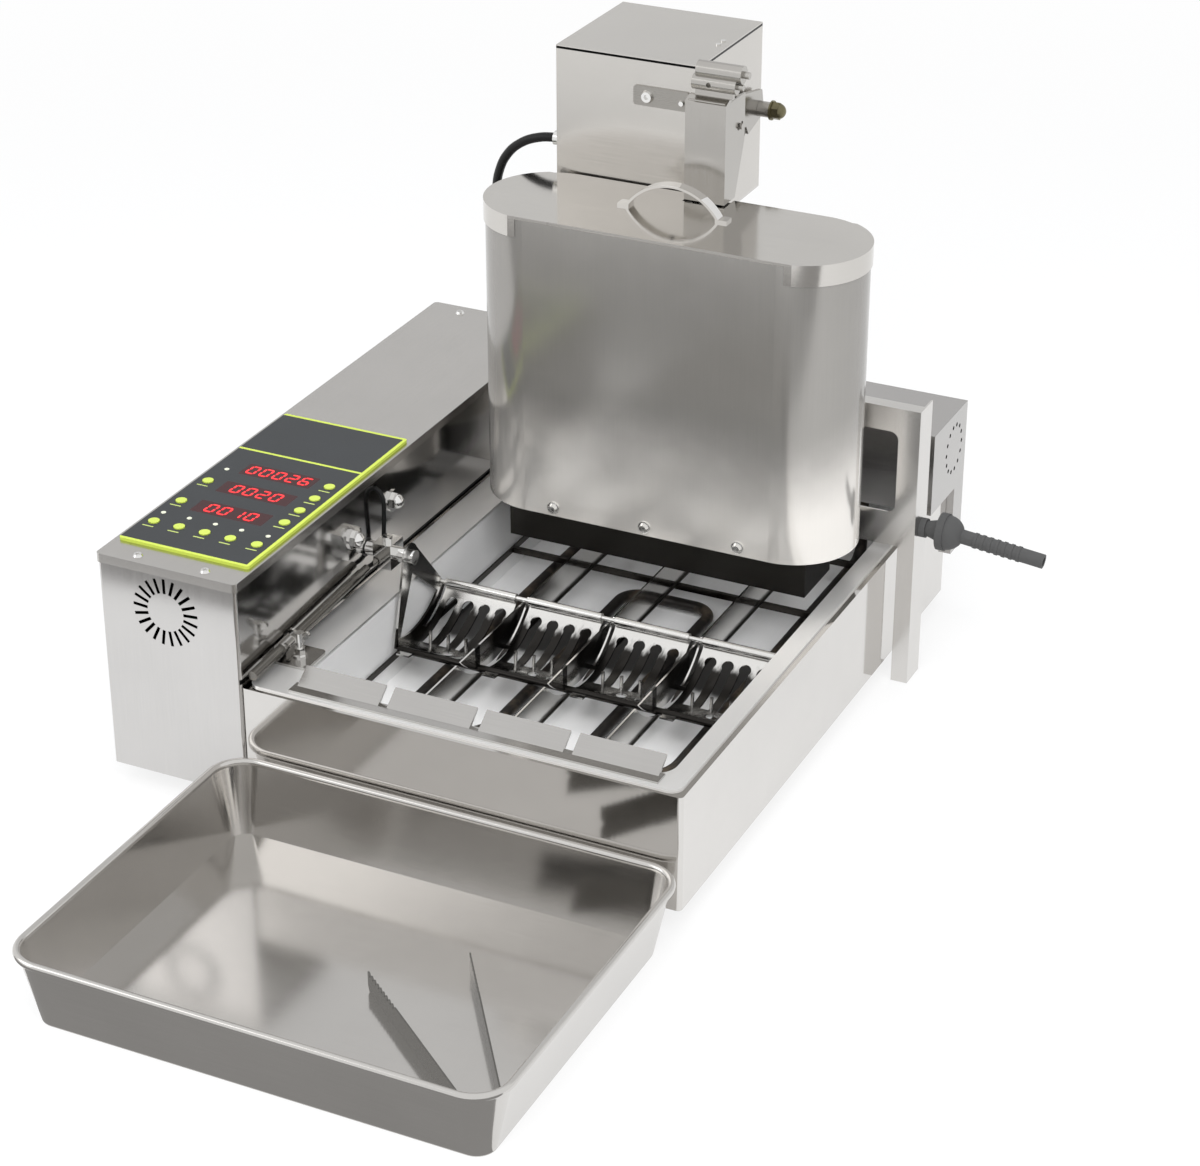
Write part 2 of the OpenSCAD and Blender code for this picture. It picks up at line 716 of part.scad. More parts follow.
// the two end parts of the lid's outline that carry a skirt
module lid_ends() {
    for (s = [-1, 1]) translate([hop_cx + s * (hop_a + hop_r - 16), hop_cy - 2])
        square([hop_d + 4, 2 * hop_r - 4], center = true);
}

module hopper_lid() {
    color([0.78, 0.76, 0.74]) {
        translate([0, 0, hop_top]) linear_extrude(lid_t) difference() {
            lid_outline(-lid_play);
            translate([notch_x0, lift_y - 3.8]) square([notch_w, 40]);
        }
        // skirts round the two ends
        translate([0, 0, hop_top - skirt_h]) linear_extrude(skirt_h + lid_t) intersection() {
            difference() {
                lid_outline(lid_over);
                lid_outline(lid_play);
            }
            lid_ends();
        }
        translate([0, 0, hop_top]) linear_extrude(lid_t) intersection() {
            lid_outline(lid_over);
            lid_ends();
        }
    }
}

handle_half = 33;
handle_w = 8;
handle_rise = 19;
handle_r = (handle_half * handle_half + handle_rise * handle_rise) / (2 * handle_rise);
handle_y = hop_cy + 7;

// arched strip with flat flared feet
module lid_handle() {
    zc = hop_top + lid_t + handle_rise - handle_r;
    color([0.9, 0.9, 0.89]) translate([hop_cx - 4, handle_y + handle_w / 2, 0]) rotate([90, 0, 0])
        linear_extrude(handle_w) {
        intersection() {
            translate([0, zc]) difference() {
                circle(handle_r, $fn = 96);
                circle(handle_r - 1.6, $fn = 96);
            }
            translate([-handle_half - 2, hop_top + lid_t]) square([2 * handle_half + 4, 60]);
        }
        for (s = [-1, 1]) translate([s * (handle_half + 1) - 4, hop_top + lid_t]) square([8, 1.6]);
    }
}

// dosing block under the hopper with four bores, and a collar in each of the hopper's holes
module nozzles() {
    color([0.3, 0.3, 0.3]) difference() {
        union() {
            translate([lane_cx - block_l / 2, hop_cy - block_d / 2, hop_z - block_h])
                cube([block_l, block_d, block_h]);
            for (i = [0:3]) translate([lane_cx + (i - 1.5) * lane_pitch, hop_cy, 0]) {
                rod_z(0, 0, hop_z - 1, hop_z + sheet, nozzle_d / 2);
                rod_z(0, 0, hop_z + sheet, hop_z + sheet + 2, nozzle_d / 2 + 4);
            }
        }
        for (i = [0:3])
            rod_z(lane_cx + (i - 1.5) * lane_pitch, hop_cy, hop_z - block_h - 1, hop_z + 10, bore_r);
    }
}

module hopper_screws() {
    color([0.92, 0.92, 0.9])
    for (i = [-1:1]) translate([hop_cx + 66 * i, hop_cy - hop_r, hop_z + 6]) rotate([90, 0, 0]) {
        cylinder(h = 1, r = 4.2);
        translate([0, 0, 1]) cylinder(h = 2.4, r1 = 3.4, r2 = 2.4);
    }
}

module plungers() {
    color([0.93, 0.92, 0.9])
    for (i = [0:3]) translate([lane_cx + (i - 1.5) * lane_pitch, hop_cy, 0]) {
        rod_z(0, 0, plunger_z, plunger_z + plunger_h, bore_r - plunger_play);
        rod_z(0, 0, plunger_z + plunger_h - 1, yoke_z, 3);
    }
}

module plunger_yoke() {
    l = 3 * lane_pitch + 2 * yoke_end;
    color([0.8, 0.79, 0.78]) {
        translate([lane_cx - l / 2, hop_cy - 6, yoke_z]) cube([l, 12, 5]);
        translate([lift_cx - rod_dx - 5, hop_cy + 5, yoke_z])
            cube([2 * rod_dx + 10, rod_y - hop_cy - 1, 5]);
    }
}

module lift_rods() {
    color([0.86, 0.85, 0.84])
    for (s = [-1, 1]) rod_z(lift_cx + s * rod_dx, rod_y, yoke_z + 5, lift_z1 - 5, 2.5);
}

// bent head over the lift rods: front, two sides and a sloped top
module lift_head() {
    t = 1.2;
    top = lift_z1;
    color([0.72, 0.71, 0.69]) {
        translate([lift_x0, lift_y - 3, lift_z0]) cube([lift_x1 - lift_x0, t, top - lift_z0 - 4]);
        translate([lift_x0, lift_y - 3, lift_z0]) cube([t, 9, top - lift_z0 - 4]);
        difference() {
            prism_x(lift_x1 - t, lift_x1) polygon([[lift_y - 3, lift_z0], [lift_y - 3 + lift_low_d, lift_z0],
                [lift_y - 3 + lift_d, lift_z0 + 0.5 * (top - lift_z0)], [lift_y - 3 + lift_d, top - 4],
                [lift_y - 3, top - 4]]);
            prism_x(lift_x1 - 3, lift_x1 + 1) {
                translate([pin_y + 0.5, pin_z]) square([5, 4.6], center = true);
                for (s = [-1, 1]) translate([pin_y + 0.5 + s * 2.5, pin_z]) circle(2.3);
            }
        }
        prism_x(lift_x0, lift_x1) polygon([[lift_y - 3, top - 4 - t], [lift_y - 3, top - 4],
            [lift_y + 3, top - 1.5], [lift_y + 6, top - 1.5], [lift_y + 6, top - 3.5]]);
        difference() {
            translate([lift_x0 + t, lift_y - 2, top - 8]) cube([lift_x1 - lift_x0 - 2 * t, 7, 5]);
            for (s = [-1, 1]) rod_z(lift_cx + s * rod_dx, rod_y, top - 20, top - 5, 2.5);
        }
    }
}

module barrel_clamp() {
    low = [lift_y + 3.5, lift_z1 + 7.5];
    high = [lift_y + 6, lift_z1 + 15];
    color([0.74, 0.72, 0.68]) difference() {
        union() {
            rod_x(lift_x0 + 3, lift_x1 + 5, low[0], low[1], 5);
            rod_x(lift_x0 + 5, lift_x1 + 8, high[0], high[1], 5.8);
            translate([lift_x0 + 4, lift_y + 3, lift_z1 - 1.5]) cube([lift_x1 - lift_x0 - 2, 3, 12]);
            rod_x(lift_x1, lift_x1 + 9, low[0], low[1], 2);
            rod_x(lift_x1, lift_x1 + 12, high[0], high[1], 2.3);
        }
        rod_y(lift_x0 + 15, lift_y - 8, low[0], low[1], 1.6);
    }
}

module motor_housing() {
    color([0.74, 0.73, 0.71]) difference() {
        translate([mx0, my0, mz0]) cube([mot_w, mot_d, mot_h]);
        translate([mx0 + sheet, my0 + sheet, mz0 - 1])
            cube([mot_w - 2 * sheet, mot_d - 2 * sheet, mot_h - sheet + 1]);
        // slanted opening in the right wall
        prism_x(mx1 - 3, mx1 + 1) polygon([[my0 + 72, mz0 + 46], [my0 + 77, mz0 + 48], [my0 + 63, mz0 + 14]]);
        rod_x(mx0 - 1, mx0 + 3, my0 + 12, mz0 + 45, gland_r);
        rod_x(mx1 - 3, mx1 + 1, pivot_y, pivot_z, stud_r);
    }
}

module dosing_motor() {
    x0 = mx0 + gear_in + 2;
    color([0.3, 0.31, 0.33]) {
        translate([x0, my0 + gear_in, mz0]) cube([gear_w, gear_w, gear_h]);
        rod_z(x0 + gear_w / 2, my0 + gear_in + gear_w / 2, mz0 + gear_h, mz0 + gear_h + 54, gear_w / 2 - 5);
    }
}

module strap() {
    color([0.66, 0.65, 0.62]) translate([0, my0, 0]) rotate([90, 0, 0]) linear_extrude(1.2)
        translate([mx1 - 46, 0]) rrect(0, strap_z - 6.5, 39, strap_z + 6.5, 2);
}

module box_screws() {
    color([0.8, 0.79, 0.77]) {
        translate([mx1 - 36, my0 - 1.2, strap_z]) rotate([90, 0, 0]) difference() {
            cylinder(h = 2.4, r1 = 4.4, r2 = 3.4);
            translate([0, 0, 0.8]) cylinder(h = 3, r = 1.7, $fn = 6);
        }
        translate([mx1 - 12, my0 - 1.2, strap_z - 1]) rotate([90, 0, 0])
            cylinder(h = 1.6, r1 = 2.2, r2 = 1.6);
        for (y = [44, 52]) translate([mx1 - 7, my0 + y, mz1]) cylinder(h = 0.8, r = 1.8);
    }
}

// rocker lever on the stud, with a pin running in the lift head's slot
module rocker_lever() {
    color([0.72, 0.71, 0.69]) {
        difference() {
            prism_x(lever_x, lever_x + lever_t) union() {
                polygon([[pivot_y - 38, pivot_z + 20], [pivot_y + 4, pivot_z + 12],
                    [pivot_y + 8, pivot_z - 5], [pivot_y - 18, pivot_z - 12]]);
                polygon([[pin_y - 4, pin_z + 4], [pivot_y - 30, pivot_z + 18], [pivot_y - 22, pivot_z - 6],
                    [pin_y - 4, pin_z - 4]]);
            }
            rod_x(lever_x - 1, lever_x + lever_t + 1, pivot_y, pivot_z, stud_r + run_play);
        }
        rod_x(lever_x + lever_t, lift_x1 + 2, pin_y, pin_z, 2);
    }
}

module lever_stud() {
    color([0.5, 0.49, 0.45]) {
        rod_x(mx1 - 3, mx1 + 20, pivot_y, pivot_z, stud_r);
        rod_x(mx1, lever_x - 0.1, pivot_y, pivot_z, stud_r + 2.5);
        rod_x(lever_x + lever_t + 0.1, mx1 + 14, pivot_y, pivot_z, stud_r + 1.2);
    }
}

module acorn_nut() {
    color([0.5, 0.47, 0.3]) translate([mx1 + 14, pivot_y, pivot_z]) rotate([0, 90, 0]) difference() {
        union() {
            cylinder(h = 1.2, r = 6.6);
            translate([0, 0, 1.2]) cylinder(h = 5, r = 6, $fn = 6);
            translate([0, 0, 5]) intersection() {
                sphere(5.2);
                cylinder(h = 6, r = 6);
            }
        }
        translate([0, 0, -1]) cylinder(h = 7, r = stud_r);
    }
}

cable_y = my0 + 12;
cable_route = [[mx0 + 6, cable_y, mz0 + 45], [mx0 - 8, cable_y, mz0 + 45], [mx0 - 20, cable_y, mz0 + 43],
    [mx0 - 33, cable_y + 1, mz0 + 37], [mx0 - 44, cable_y + 3, mz0 + 27], [mx0 - 52, cable_y + 6, mz0 + 13],
    [mx0 - 57, cable_y + 11, mz0 - 4], [mx0 - 60, cable_y + 18, mz0 - 25], [mx0 - 62, cable_y + 26, mz0 - 50],
    [gland_x - 0.5, cover_y - 7, bz1 + 52], [gland_x, cover_y - 2, bz1 + 30], [gland_x, cover_y, bz1 + 14],
    [gland_x, cover_y, bz1 - 6]];

module motor_cable() {
    color([0.06, 0.06, 0.06]) sweep(cable_route, cable_r, 8);
}

module gland(l) {
    difference() {
        union() {
            cylinder(h = 3, r = 6.5, $fn = 6);
            cylinder(h = l, r = 4.8);
            translate([0, 0, -3]) cylinder(h = 4, r = gland_r);
        }
        translate([0, 0, -4]) cylinder(h = l + 8, r = cable_r);
    }
}

module cable_glands() {
    color([0.1, 0.1, 0.1]) {
        translate([mx0, cable_y, mz0 + 45]) rotate([0, -90, 0]) gland(7);
        translate([gland_x, cover_y, bz1]) gland(6);
    }
}

module heater_head() {
    t = sheet;
    color([0.77, 0.76, 0.75]) difference() {
        prism_x(head_x0, head_x1) polygon([[head_y0, rim_z], [head_y0, head_z1], [head_y1, head_z1],
            [head_y1, head_z0], [tank_d, head_z0], [tank_d, rim_z]]);
        prism_x(head_x0 + t, head_x1 - t) polygon([[head_y0 + t, rim_z + t], [head_y0 + t, head_z1 - t],
            [head_y1 - t, head_z1 - t], [head_y1 - t, head_z0 + t], [tank_d + t, head_z0 + t],
            [tank_d + t, rim_z + t]]);
        for (s = [-1, 1]) rod_z(lane_cx + s * (lane_pitch + el_half), el_rear, rim_z - 1, rim_z + 3, el_r);
        for (i = [0:13]) rod_x(head_x1 - 3, head_x1 + 1, tank_d - 6 + 15 * cos(i * 360 / 14),
            rim_z + 33 + 17 * sin(i * 360 / 14), 1.5);
    }
}

module power_gland() {
    color([0.08, 0.08, 0.08]) difference() {
        union() {
            rod_x(stand_x1, stand_x1 + 4, gland_y, gland_z, 6.5);
            translate([stand_x1 + 4, gland_y, gland_z]) rotate([0, 90, 0])
                cylinder(h = 9, r1 = 5, r2 = 7.5);
            rod_x(hub_x0, hub_x0 + 5, gland_y, gland_z, 12.5);
            translate([hub_x0 + 5, gland_y, gland_z]) rotate([0, 90, 0]) intersection() {
                sphere(11.5);
                cylinder(h = 12, r = 14);
            }
            translate([hub_x0 + 8, gland_y, gland_z]) rotate([0, 90 + sleeve_droop, 0]) {
                cylinder(h = sleeve_l + 8, r = sleeve_r);
                for (i = [0:6]) translate([0, 0, 16 + 5 * i]) cylinder(h = 2, r = sleeve_r + 0.5);
            }
        }
        translate([hub_x0 + 8, gland_y, gland_z]) rotate([0, 90 + sleeve_droop, 0])
            cylinder(h = sleeve_l + 20, r = cord_r);
        rod_x(stand_x1 - 1, hub_x0 + 14, gland_y, gland_z, cord_r + 0.6);
    }
}

// flared wall and rolled rim of the tray, outwards from a corner's middle
module tray_profile(r0, r1) {
    h = tray_h - roll_t;
    lean = tray_t * (r1 - r0) / h;
    polygon([[r0 - floor_edge, 0], [r0, 0], [r1, h], [r1 - tray_t, h], [r0 + lean - tray_t, tray_t],
        [r0 - floor_edge, tray_t]]);
    translate([r1, h]) circle(roll_t, $fn = 24);
}

module tray() {
    cx = tray_l / 2 - tray_rr;
    cy = tray_w / 2 - tray_rr;
    r1 = tray_rr - roll_t;
    r0 = r1 - tray_flare;
    rf = r0 - floor_edge;
    color([0.75, 0.74, 0.71]) translate([tray_cx, tray_cy, 0]) {
        rbox(-cx - rf, -cy - rf, cx + rf, cy + rf, rf, 0, tray_t);
        for (q = [[1, 1, 0], [-1, 1, 90], [-1, -1, 180], [1, -1, 270]])
            translate([q[0] * cx, q[1] * cy, 0]) rotate(q[2])
                rotate_extrude(angle = 90) tray_profile(r0, r1);
        for (s = [0, 180]) rotate(s) {
            translate([cx, cy, 0]) rotate([90, 0, 0]) linear_extrude(2 * cy) tray_profile(r0, r1);
            translate([-cx, cy, 0]) rotate([90, 0, 90]) linear_extrude(2 * cx) tray_profile(r0, r1);
        }
    }
}

// one tong arm along +X from the bow, standing on its edge, the upper edge toothed near the tip
module tong_arm(a0, a1) {
    rotate_extrude(angle = a1, start = a0) translate([bow_r - tong_t, 0]) square([tong_t, tong_h]);
    translate([0, bow_r, 0]) rotate([90, 0, 0]) linear_extrude(tong_t) difference() {
        square([tong_l, tong_h]);
        for (i = [0:tooth_n - 1]) translate([tong_l - 0.8 * tooth_p - tooth_p * i, tong_h])
            polygon([[-0.45 * tooth_p, 0.5], [0, -tooth_d], [0.45 * tooth_p, 0.5]]);
        translate([tong_l, 0]) polygon([[-0.7 * tong_t - 2, -1], [1, -1], [1, 5]]);
    }
}

module tongs_fixed_arm() {
    color([0.78, 0.77, 0.75]) translate([tong_x, tong_y, tong_z]) rotate(tong_dir) tong_arm(90, 90);
}

module tongs_free_arm() {
    color([0.78, 0.77, 0.75]) translate([tong_x, tong_y, tong_z]) rotate(tong_dir - tong_open)
        mirror([0, 1, 0]) tong_arm(90, 86 - tong_open);
}

place() tank_casing();
place() basin();
place() feet();
place() control_housing();
place() control_cover();
place() control_base();
place() cover_screws();
place() panel_overlay();
place() key(0);  // key_1
place() key(1);  // key_2
place() key(2);  // key_3
place() key(3);  // key_4
place() key(4);  // key_5
place() key(5);  // key_6
place() key(6);  // key_7
place() key(7);  // key_8
place() key(8);  // key_9
place() key(9);  // key_10
place() key(10);  // key_11
place() digit_windows();
place() indicator_lights();
place() control_board();
place() turner_motor();
place() dome_nuts();
place() probe_rod();
place() probe_lead();
place() probe_clamp();
place() wing_bolt();
place() lane_frame();
place() exit_slide();
place() heating_element();
place() turner_shaft();
place() turner_scoops();
place() turner_rod();
place() drive_hub();
place() stand();
place() hopper();
place() hopper_lid();
place() lid_handle();
place() nozzles();
place() hopper_screws();
place() plungers();
place() plunger_yoke();
place() lift_rods();
place() lift_head();
place() barrel_clamp();
place() motor_housing();
place() dosing_motor();
place() strap();
place() box_screws();
place() rocker_lever();
place() lever_stud();
place() acorn_nut();
place() motor_cable();
place() cable_glands();
place() heater_head();
place() power_gland();
place() tray();
place() tongs_fixed_arm();
place() tongs_free_arm();
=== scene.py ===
"""Looks of a four-lane table-top donut fryer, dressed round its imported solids."""

import logging
import math
from dataclasses import dataclass, replace
from enum import Enum
from typing import Any, Dict, List, Optional, Sequence, Tuple

import bmesh
import bpy
from mathutils import Matrix, Vector


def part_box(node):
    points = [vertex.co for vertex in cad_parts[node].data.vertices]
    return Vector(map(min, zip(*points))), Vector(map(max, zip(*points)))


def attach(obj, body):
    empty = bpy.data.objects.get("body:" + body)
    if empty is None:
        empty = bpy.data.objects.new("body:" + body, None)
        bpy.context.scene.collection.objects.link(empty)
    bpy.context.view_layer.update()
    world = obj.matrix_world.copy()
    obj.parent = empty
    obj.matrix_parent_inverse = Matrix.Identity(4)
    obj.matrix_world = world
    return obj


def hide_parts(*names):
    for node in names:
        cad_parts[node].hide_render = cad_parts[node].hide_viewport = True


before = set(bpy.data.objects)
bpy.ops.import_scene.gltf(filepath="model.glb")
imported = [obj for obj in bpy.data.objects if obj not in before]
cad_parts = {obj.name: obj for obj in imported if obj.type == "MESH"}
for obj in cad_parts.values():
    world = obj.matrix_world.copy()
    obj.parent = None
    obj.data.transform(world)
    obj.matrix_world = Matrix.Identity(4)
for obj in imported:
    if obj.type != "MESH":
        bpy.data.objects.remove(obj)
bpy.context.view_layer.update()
LOG = logging.getLogger("donut_fryer")

MM = 0.001
MICRON = 0.000001
ROOT = "machine"
# from the source's own zero, the tank's front middle, to the row's, in millimetres
SHIFT = Vector((-0.82557, -108.5, 0.0))
# stretch of a pattern that is alike on every axis
EVEN = (1.0, 1.0, 1.0)

Colour = Tuple[float, float, float]
Spot = Tuple[float, float, float]
Span = Tuple[float, float]


def at(x: float, y: float, z: float) -> Vector:
    """A point of the source, in millimetres, as a place in the row frame."""
    return (Vector((x, y, z)) + SHIFT) * MM


def shade(colour: Colour, factor: float) -> Colour:
    """A colour made lighter or darker."""
    return tuple(min(1.0, c * factor) for c in colour)


class Sock:
    """An output socket that takes part in arithmetic; each operator adds one Math node."""

    def __init__(self, graph: "Graph", socket: bpy.types.NodeSocket) -> None:
        """Keeps the graph and the socket."""
        self.graph = graph
        self.socket = socket

    def _math(self, operation: str, a: Any, b: Any = 0.0) -> "Sock":
        """Adds a Math node.

        Args:
            operation: Blender's name of the operation.
            a: first value or socket.
            b: second value or socket.

        Returns:
            The node's result.
        """
        return self.graph.node("ShaderNodeMath", {"operation": operation}, {0: a, 1: b})

    def __add__(self, other: Any) -> "Sock":
        """Sum."""
        return self._math("ADD", self, other)

    def __sub__(self, other: Any) -> "Sock":
        """Difference."""
        return self._math("SUBTRACT", self, other)

    def __rsub__(self, other: Any) -> "Sock":
        """Difference from a number."""
        return self._math("SUBTRACT", other, self)

    def __mul__(self, other: Any) -> "Sock":
        """Product."""
        return self._math("MULTIPLY", self, other)

    def __truediv__(self, other: Any) -> "Sock":
        """Quotient."""
        return self._math("DIVIDE", self, other)

    def __pow__(self, other: Any) -> "Sock":
        """Power."""
        return self._math("POWER", self, other)

    def __lt__(self, other: Any) -> "Sock":
        """One where the value is below the other."""
        return self._math("LESS_THAN", self, other)

    def __gt__(self, other: Any) -> "Sock":
        """One where the value is above the other."""
        return self._math("GREATER_THAN", self, other)

    def least(self, other: Any) -> "Sock":
        """The smaller of two values."""
        return self._math("MINIMUM", self, other)

    def most(self, other: Any) -> "Sock":
        """The larger of two values."""
        return self._math("MAXIMUM", self, other)

    def size(self) -> "Sock":
        """The value without its sign."""
        return self._math("ABSOLUTE", self)

    def wave(self) -> "Sock":
        """The value's sine."""
        return self._math("SINE", self)

    def sway(self, width: float) -> "Sock":
        """A noise about 0.5 turned into a swing about zero, of the width given."""
        return (self - 0.5) * width

    def step(self, low: float, high: float) -> "Sock":
        """A smooth rise from 0 at low to 1 at high."""
        return self.graph.node("ShaderNodeMapRange", {"interpolation_type": "SMOOTHSTEP"},
                               {0: self, 1: low, 2: high, 3: 0.0, 4: 1.0})

    def band(self, rise: Span, fall: Span) -> "Sock":
        """One between two soft edges, each given by its start and its end."""
        return self.step(*rise) * (1.0 - self.step(*fall))


class Graph:
    """The node tree of one material."""

    def __init__(self, name: str) -> None:
        """Starts an empty material with a Principled shader.

        Args:
            name: the material's name.
        """
        self.material = bpy.data.materials.new(name)
        self.material.use_nodes = True
        self.tree = self.material.node_tree
        self.tree.nodes.clear()
        self.shader = self.tree.nodes.new("ShaderNodeBsdfPrincipled")
        self.out = self.tree.nodes.new("ShaderNodeOutputMaterial")
        self.tree.links.new(self.shader.outputs[0], self.out.inputs[0])

    def node(self, kind: str, settings: Optional[Dict[str, Any]] = None,
             inputs: Optional[Dict[Any, Any]] = None, out: Any = 0) -> Sock:
        """Adds any node.

        Args:
            kind: the node's type.
            settings: its properties, set first.
            inputs: values or sockets by input name or number.
            out: name or number of the output wanted.

        Returns:
            That output.
        """
        node = self.tree.nodes.new(kind)
        for key, value in (settings or {}).items():
            setattr(node, key, value)
        for key, value in (inputs or {}).items():
            self.feed(node.inputs[key], value)
        return Sock(self, node.outputs[out])

    def feed(self, socket: bpy.types.NodeSocket, value: Any) -> None:
        """Links or sets one input.

        Args:
            socket: the input.
            value: a Sock, a number or a colour.
        """
        if isinstance(value, Sock):
            self.tree.links.new(value.socket, socket)
        elif isinstance(value, (tuple, list)) and socket.type == "RGBA":
            socket.default_value = (*value, 1.0)[:4]
        else:
            socket.default_value = value

    def set(self, **values: Any) -> None:
        """Sets sockets of the Principled shader, with underscores for spaces in their names."""
        for key, value in values.items():
            self.feed(self.shader.inputs[key.replace("_", " ").title().replace("Ior", "IOR")], value)

    def place(self) -> Sock:
        """Object coordinates."""
        return self.node("ShaderNodeTexCoord", out="Object")

    def axes(self) -> Tuple[Sock, Sock, Sock]:
        """X, Y and Z of the object coordinates, in metres of the row.

        Returns:
            The three values.
        """
        split = self.tree.nodes.new("ShaderNodeSeparateXYZ")
        self.tree.links.new(self.place().socket, split.inputs[0])
        return tuple(Sock(self, split.outputs[i]) for i in range(3))

    def source(self) -> Tuple[Sock, Sock, Sock]:
        """X, Y and Z in millimetres from the source's own zero."""
        return tuple(axis / MM - offset for axis, offset in zip(self.axes(), SHIFT))

    def noise(self, scale: float, stretch: Sequence[float] = EVEN, detail: float = 3.0,
              rough: float = 0.55) -> Sock:
        """Noise over the object.

        Args:
            scale: size of the pattern, per metre.
            stretch: factor on each axis.
            detail: octaves.
            rough: share of the fine octaves.

        Returns:
            A value about 0.5.
        """
        spot = self.node("ShaderNodeVectorMath", {"operation": "MULTIPLY"},
                         {0: self.place(), 1: tuple(stretch)})
        return self.node("ShaderNodeTexNoise", None,
                         {"Vector": spot, "Scale": scale, "Detail": detail, "Roughness": rough})

    def mix(self, share: Any, a: Any, b: Any) -> Sock:
        """A colour between a, at a share of 0, and b, at 1."""
        return self.node("ShaderNodeMix", {"data_type": "RGBA"}, {0: share, 6: a, 7: b}, out=2)

    def shades(self, share: Any, colour: Colour, span: Span) -> Sock:
        """A colour between a darker and a lighter shade of itself."""
        return self.mix(share, shade(colour, span[0]), shade(colour, span[1]))

    def bump(self, height: Sock, strength: float, depth: float) -> Sock:
        """A normal from a height.

        Args:
            height: the height, about 0 to 1.
            strength: share of the effect.
            depth: metres for a height of one.

        Returns:
            The normal.
        """
        return self.node("ShaderNodeBump", None,
                         {"Strength": strength, "Distance": depth, "Height": height})


class Grain(Enum):
    """Direction in which a sheet was brushed, as a stretch of fine noise."""

    ALONG_X = (0.012, 1.0, 1.0)
    ALONG_Y = (1.0, 0.012, 1.0)
    ALONG_Z = (1.0, 1.0, 0.012)
    NONE = EVEN


class Finish:
    """A finish makes its material once."""

    name: str

    def build(self, graph: Graph) -> None:
        """Wires the finish into a graph."""
        raise NotImplementedError

    def material(self) -> bpy.types.Material:
        """The finish's material, made on first use.

        Returns:
            The material.
        """
        known = bpy.data.materials.get(self.name)
        if known is None:
            graph = Graph(self.name)
            self.build(graph)
            known = graph.material
        return known


@dataclass(frozen=True)
class JointShadeLine:
    """A dark joint line, which on the inner wall is also painted shade in the gap by the flange: its height,
    half its width and its left end, in the source's millimetres.
    """

    level: float
    half: float
    left: float = -1000.0
    tint: Colour = (0.008, 0.008, 0.008)


@dataclass(frozen=True)
class TurnerShadeBand:
    """Painted dark reflection of the turner: where it sets in and clears along Y, and what height it stays
    below, in millimetres.
    """

    rise: Span
    fall: Span
    top: float
    tint: Colour = (0.012, 0.011, 0.01)
    share: float = 0.97
    wander: float = 22.0


@dataclass(frozen=True)
class Rim:
    """A flange that stays plain metal: its lower height in millimetres, its shade and its added metal."""

    level: float
    shade: float = 0.88
    metal: float = 0.7


@dataclass(frozen=True)
class PaintedReflection:
    """Painted reflection on a sheet, brighter low down and darker above: where it turns dull, in
    millimetres, and both pairs of shades.
    """

    edge: Span
    wander: float = 60.0
    clean: Span = (1.3, 1.55)
    dull: Span = (0.5, 0.68)


@dataclass(frozen=True)
class Steel(Finish):
    """Stainless sheet: brushed lines, soft smudges and slight waviness, with the marks that are set."""

    name: str
    tint: Colour
    rough: float
    grain: Grain
    lines: float
    smudge: float
    relief: float = 12 * MICRON
    metal: float = 1.0
    joint_shade: Optional[JointShadeLine] = None
    turner_shade: Optional[TurnerShadeBand] = None
    painted_reflection: Optional[PaintedReflection] = None
    rim: Optional[Rim] = None
    # patterns per metre
    BRUSHING = 1900.0
    CLOUDS = 9.0
    SPOTS = 55.0
    # share of the brushing in the tint, and of the spots in the smudges
    BRUSH_SHARE = 0.35
    SPOT_SHARE = 0.4
    SHEET = (0.86, 1.1)
    SMOOTHEST = 0.03

    def build(self, graph: Graph) -> None:
        """Wires brushing, smudges and tint, then the marks.

        Args:
            graph: the material's graph.
        """
        fine = graph.noise(self.BRUSHING, self.grain.value, detail=2.0)
        wide = graph.noise(self.CLOUDS, detail=4.0, rough=0.6)
        spots = graph.noise(self.SPOTS)
        smear = wide.sway(self.smudge) + spots.sway(self.SPOT_SHARE * self.smudge)
        tone = fine * self.BRUSH_SHARE + wide * (1.0 - self.BRUSH_SHARE)
        colour = graph.shades(tone, self.tint, self.SHEET)
        metal: Any = self.metal
        x, y, z = graph.source()
        # painted reflection: brighter low down, darker above
        if self.painted_reflection is not None:
            upper = (z + wide.sway(self.painted_reflection.wander)).step(*self.painted_reflection.edge)
            dull = graph.shades(tone, self.tint, self.painted_reflection.dull)
            colour = graph.mix(upper, graph.shades(tone, self.tint, self.painted_reflection.clean), dull)
        if self.rim is not None:
            flange = z > self.rim.level
            metal = flange * self.rim.metal + self.metal
            colour = graph.mix(flange, colour, shade(self.tint, self.rim.shade))
        # dark joint line; on the inner wall it is also painted shade in the gap by the flange
        if self.joint_shade is not None:
            joint_shade_mask = ((z - self.joint_shade.level).size() < self.joint_shade.half) * (x > self.joint_shade.left)
            colour = graph.mix(joint_shade_mask, colour, self.joint_shade.tint)
        # painted shade: the turner's dark reflection on the floor behind it
        if self.turner_shade is not None:
            along = y + spots.sway(self.turner_shade.wander)
            band = along.band(self.turner_shade.rise, self.turner_shade.fall) * (z < self.turner_shade.top)
            colour = graph.mix(band * self.turner_shade.share, colour, self.turner_shade.tint)
        rough = fine.sway(self.lines) + smear + self.rough
        graph.set(metallic=metal, roughness=rough.most(self.SMOOTHEST), base_color=colour,
                  normal=graph.bump(fine, 0.5, self.relief))


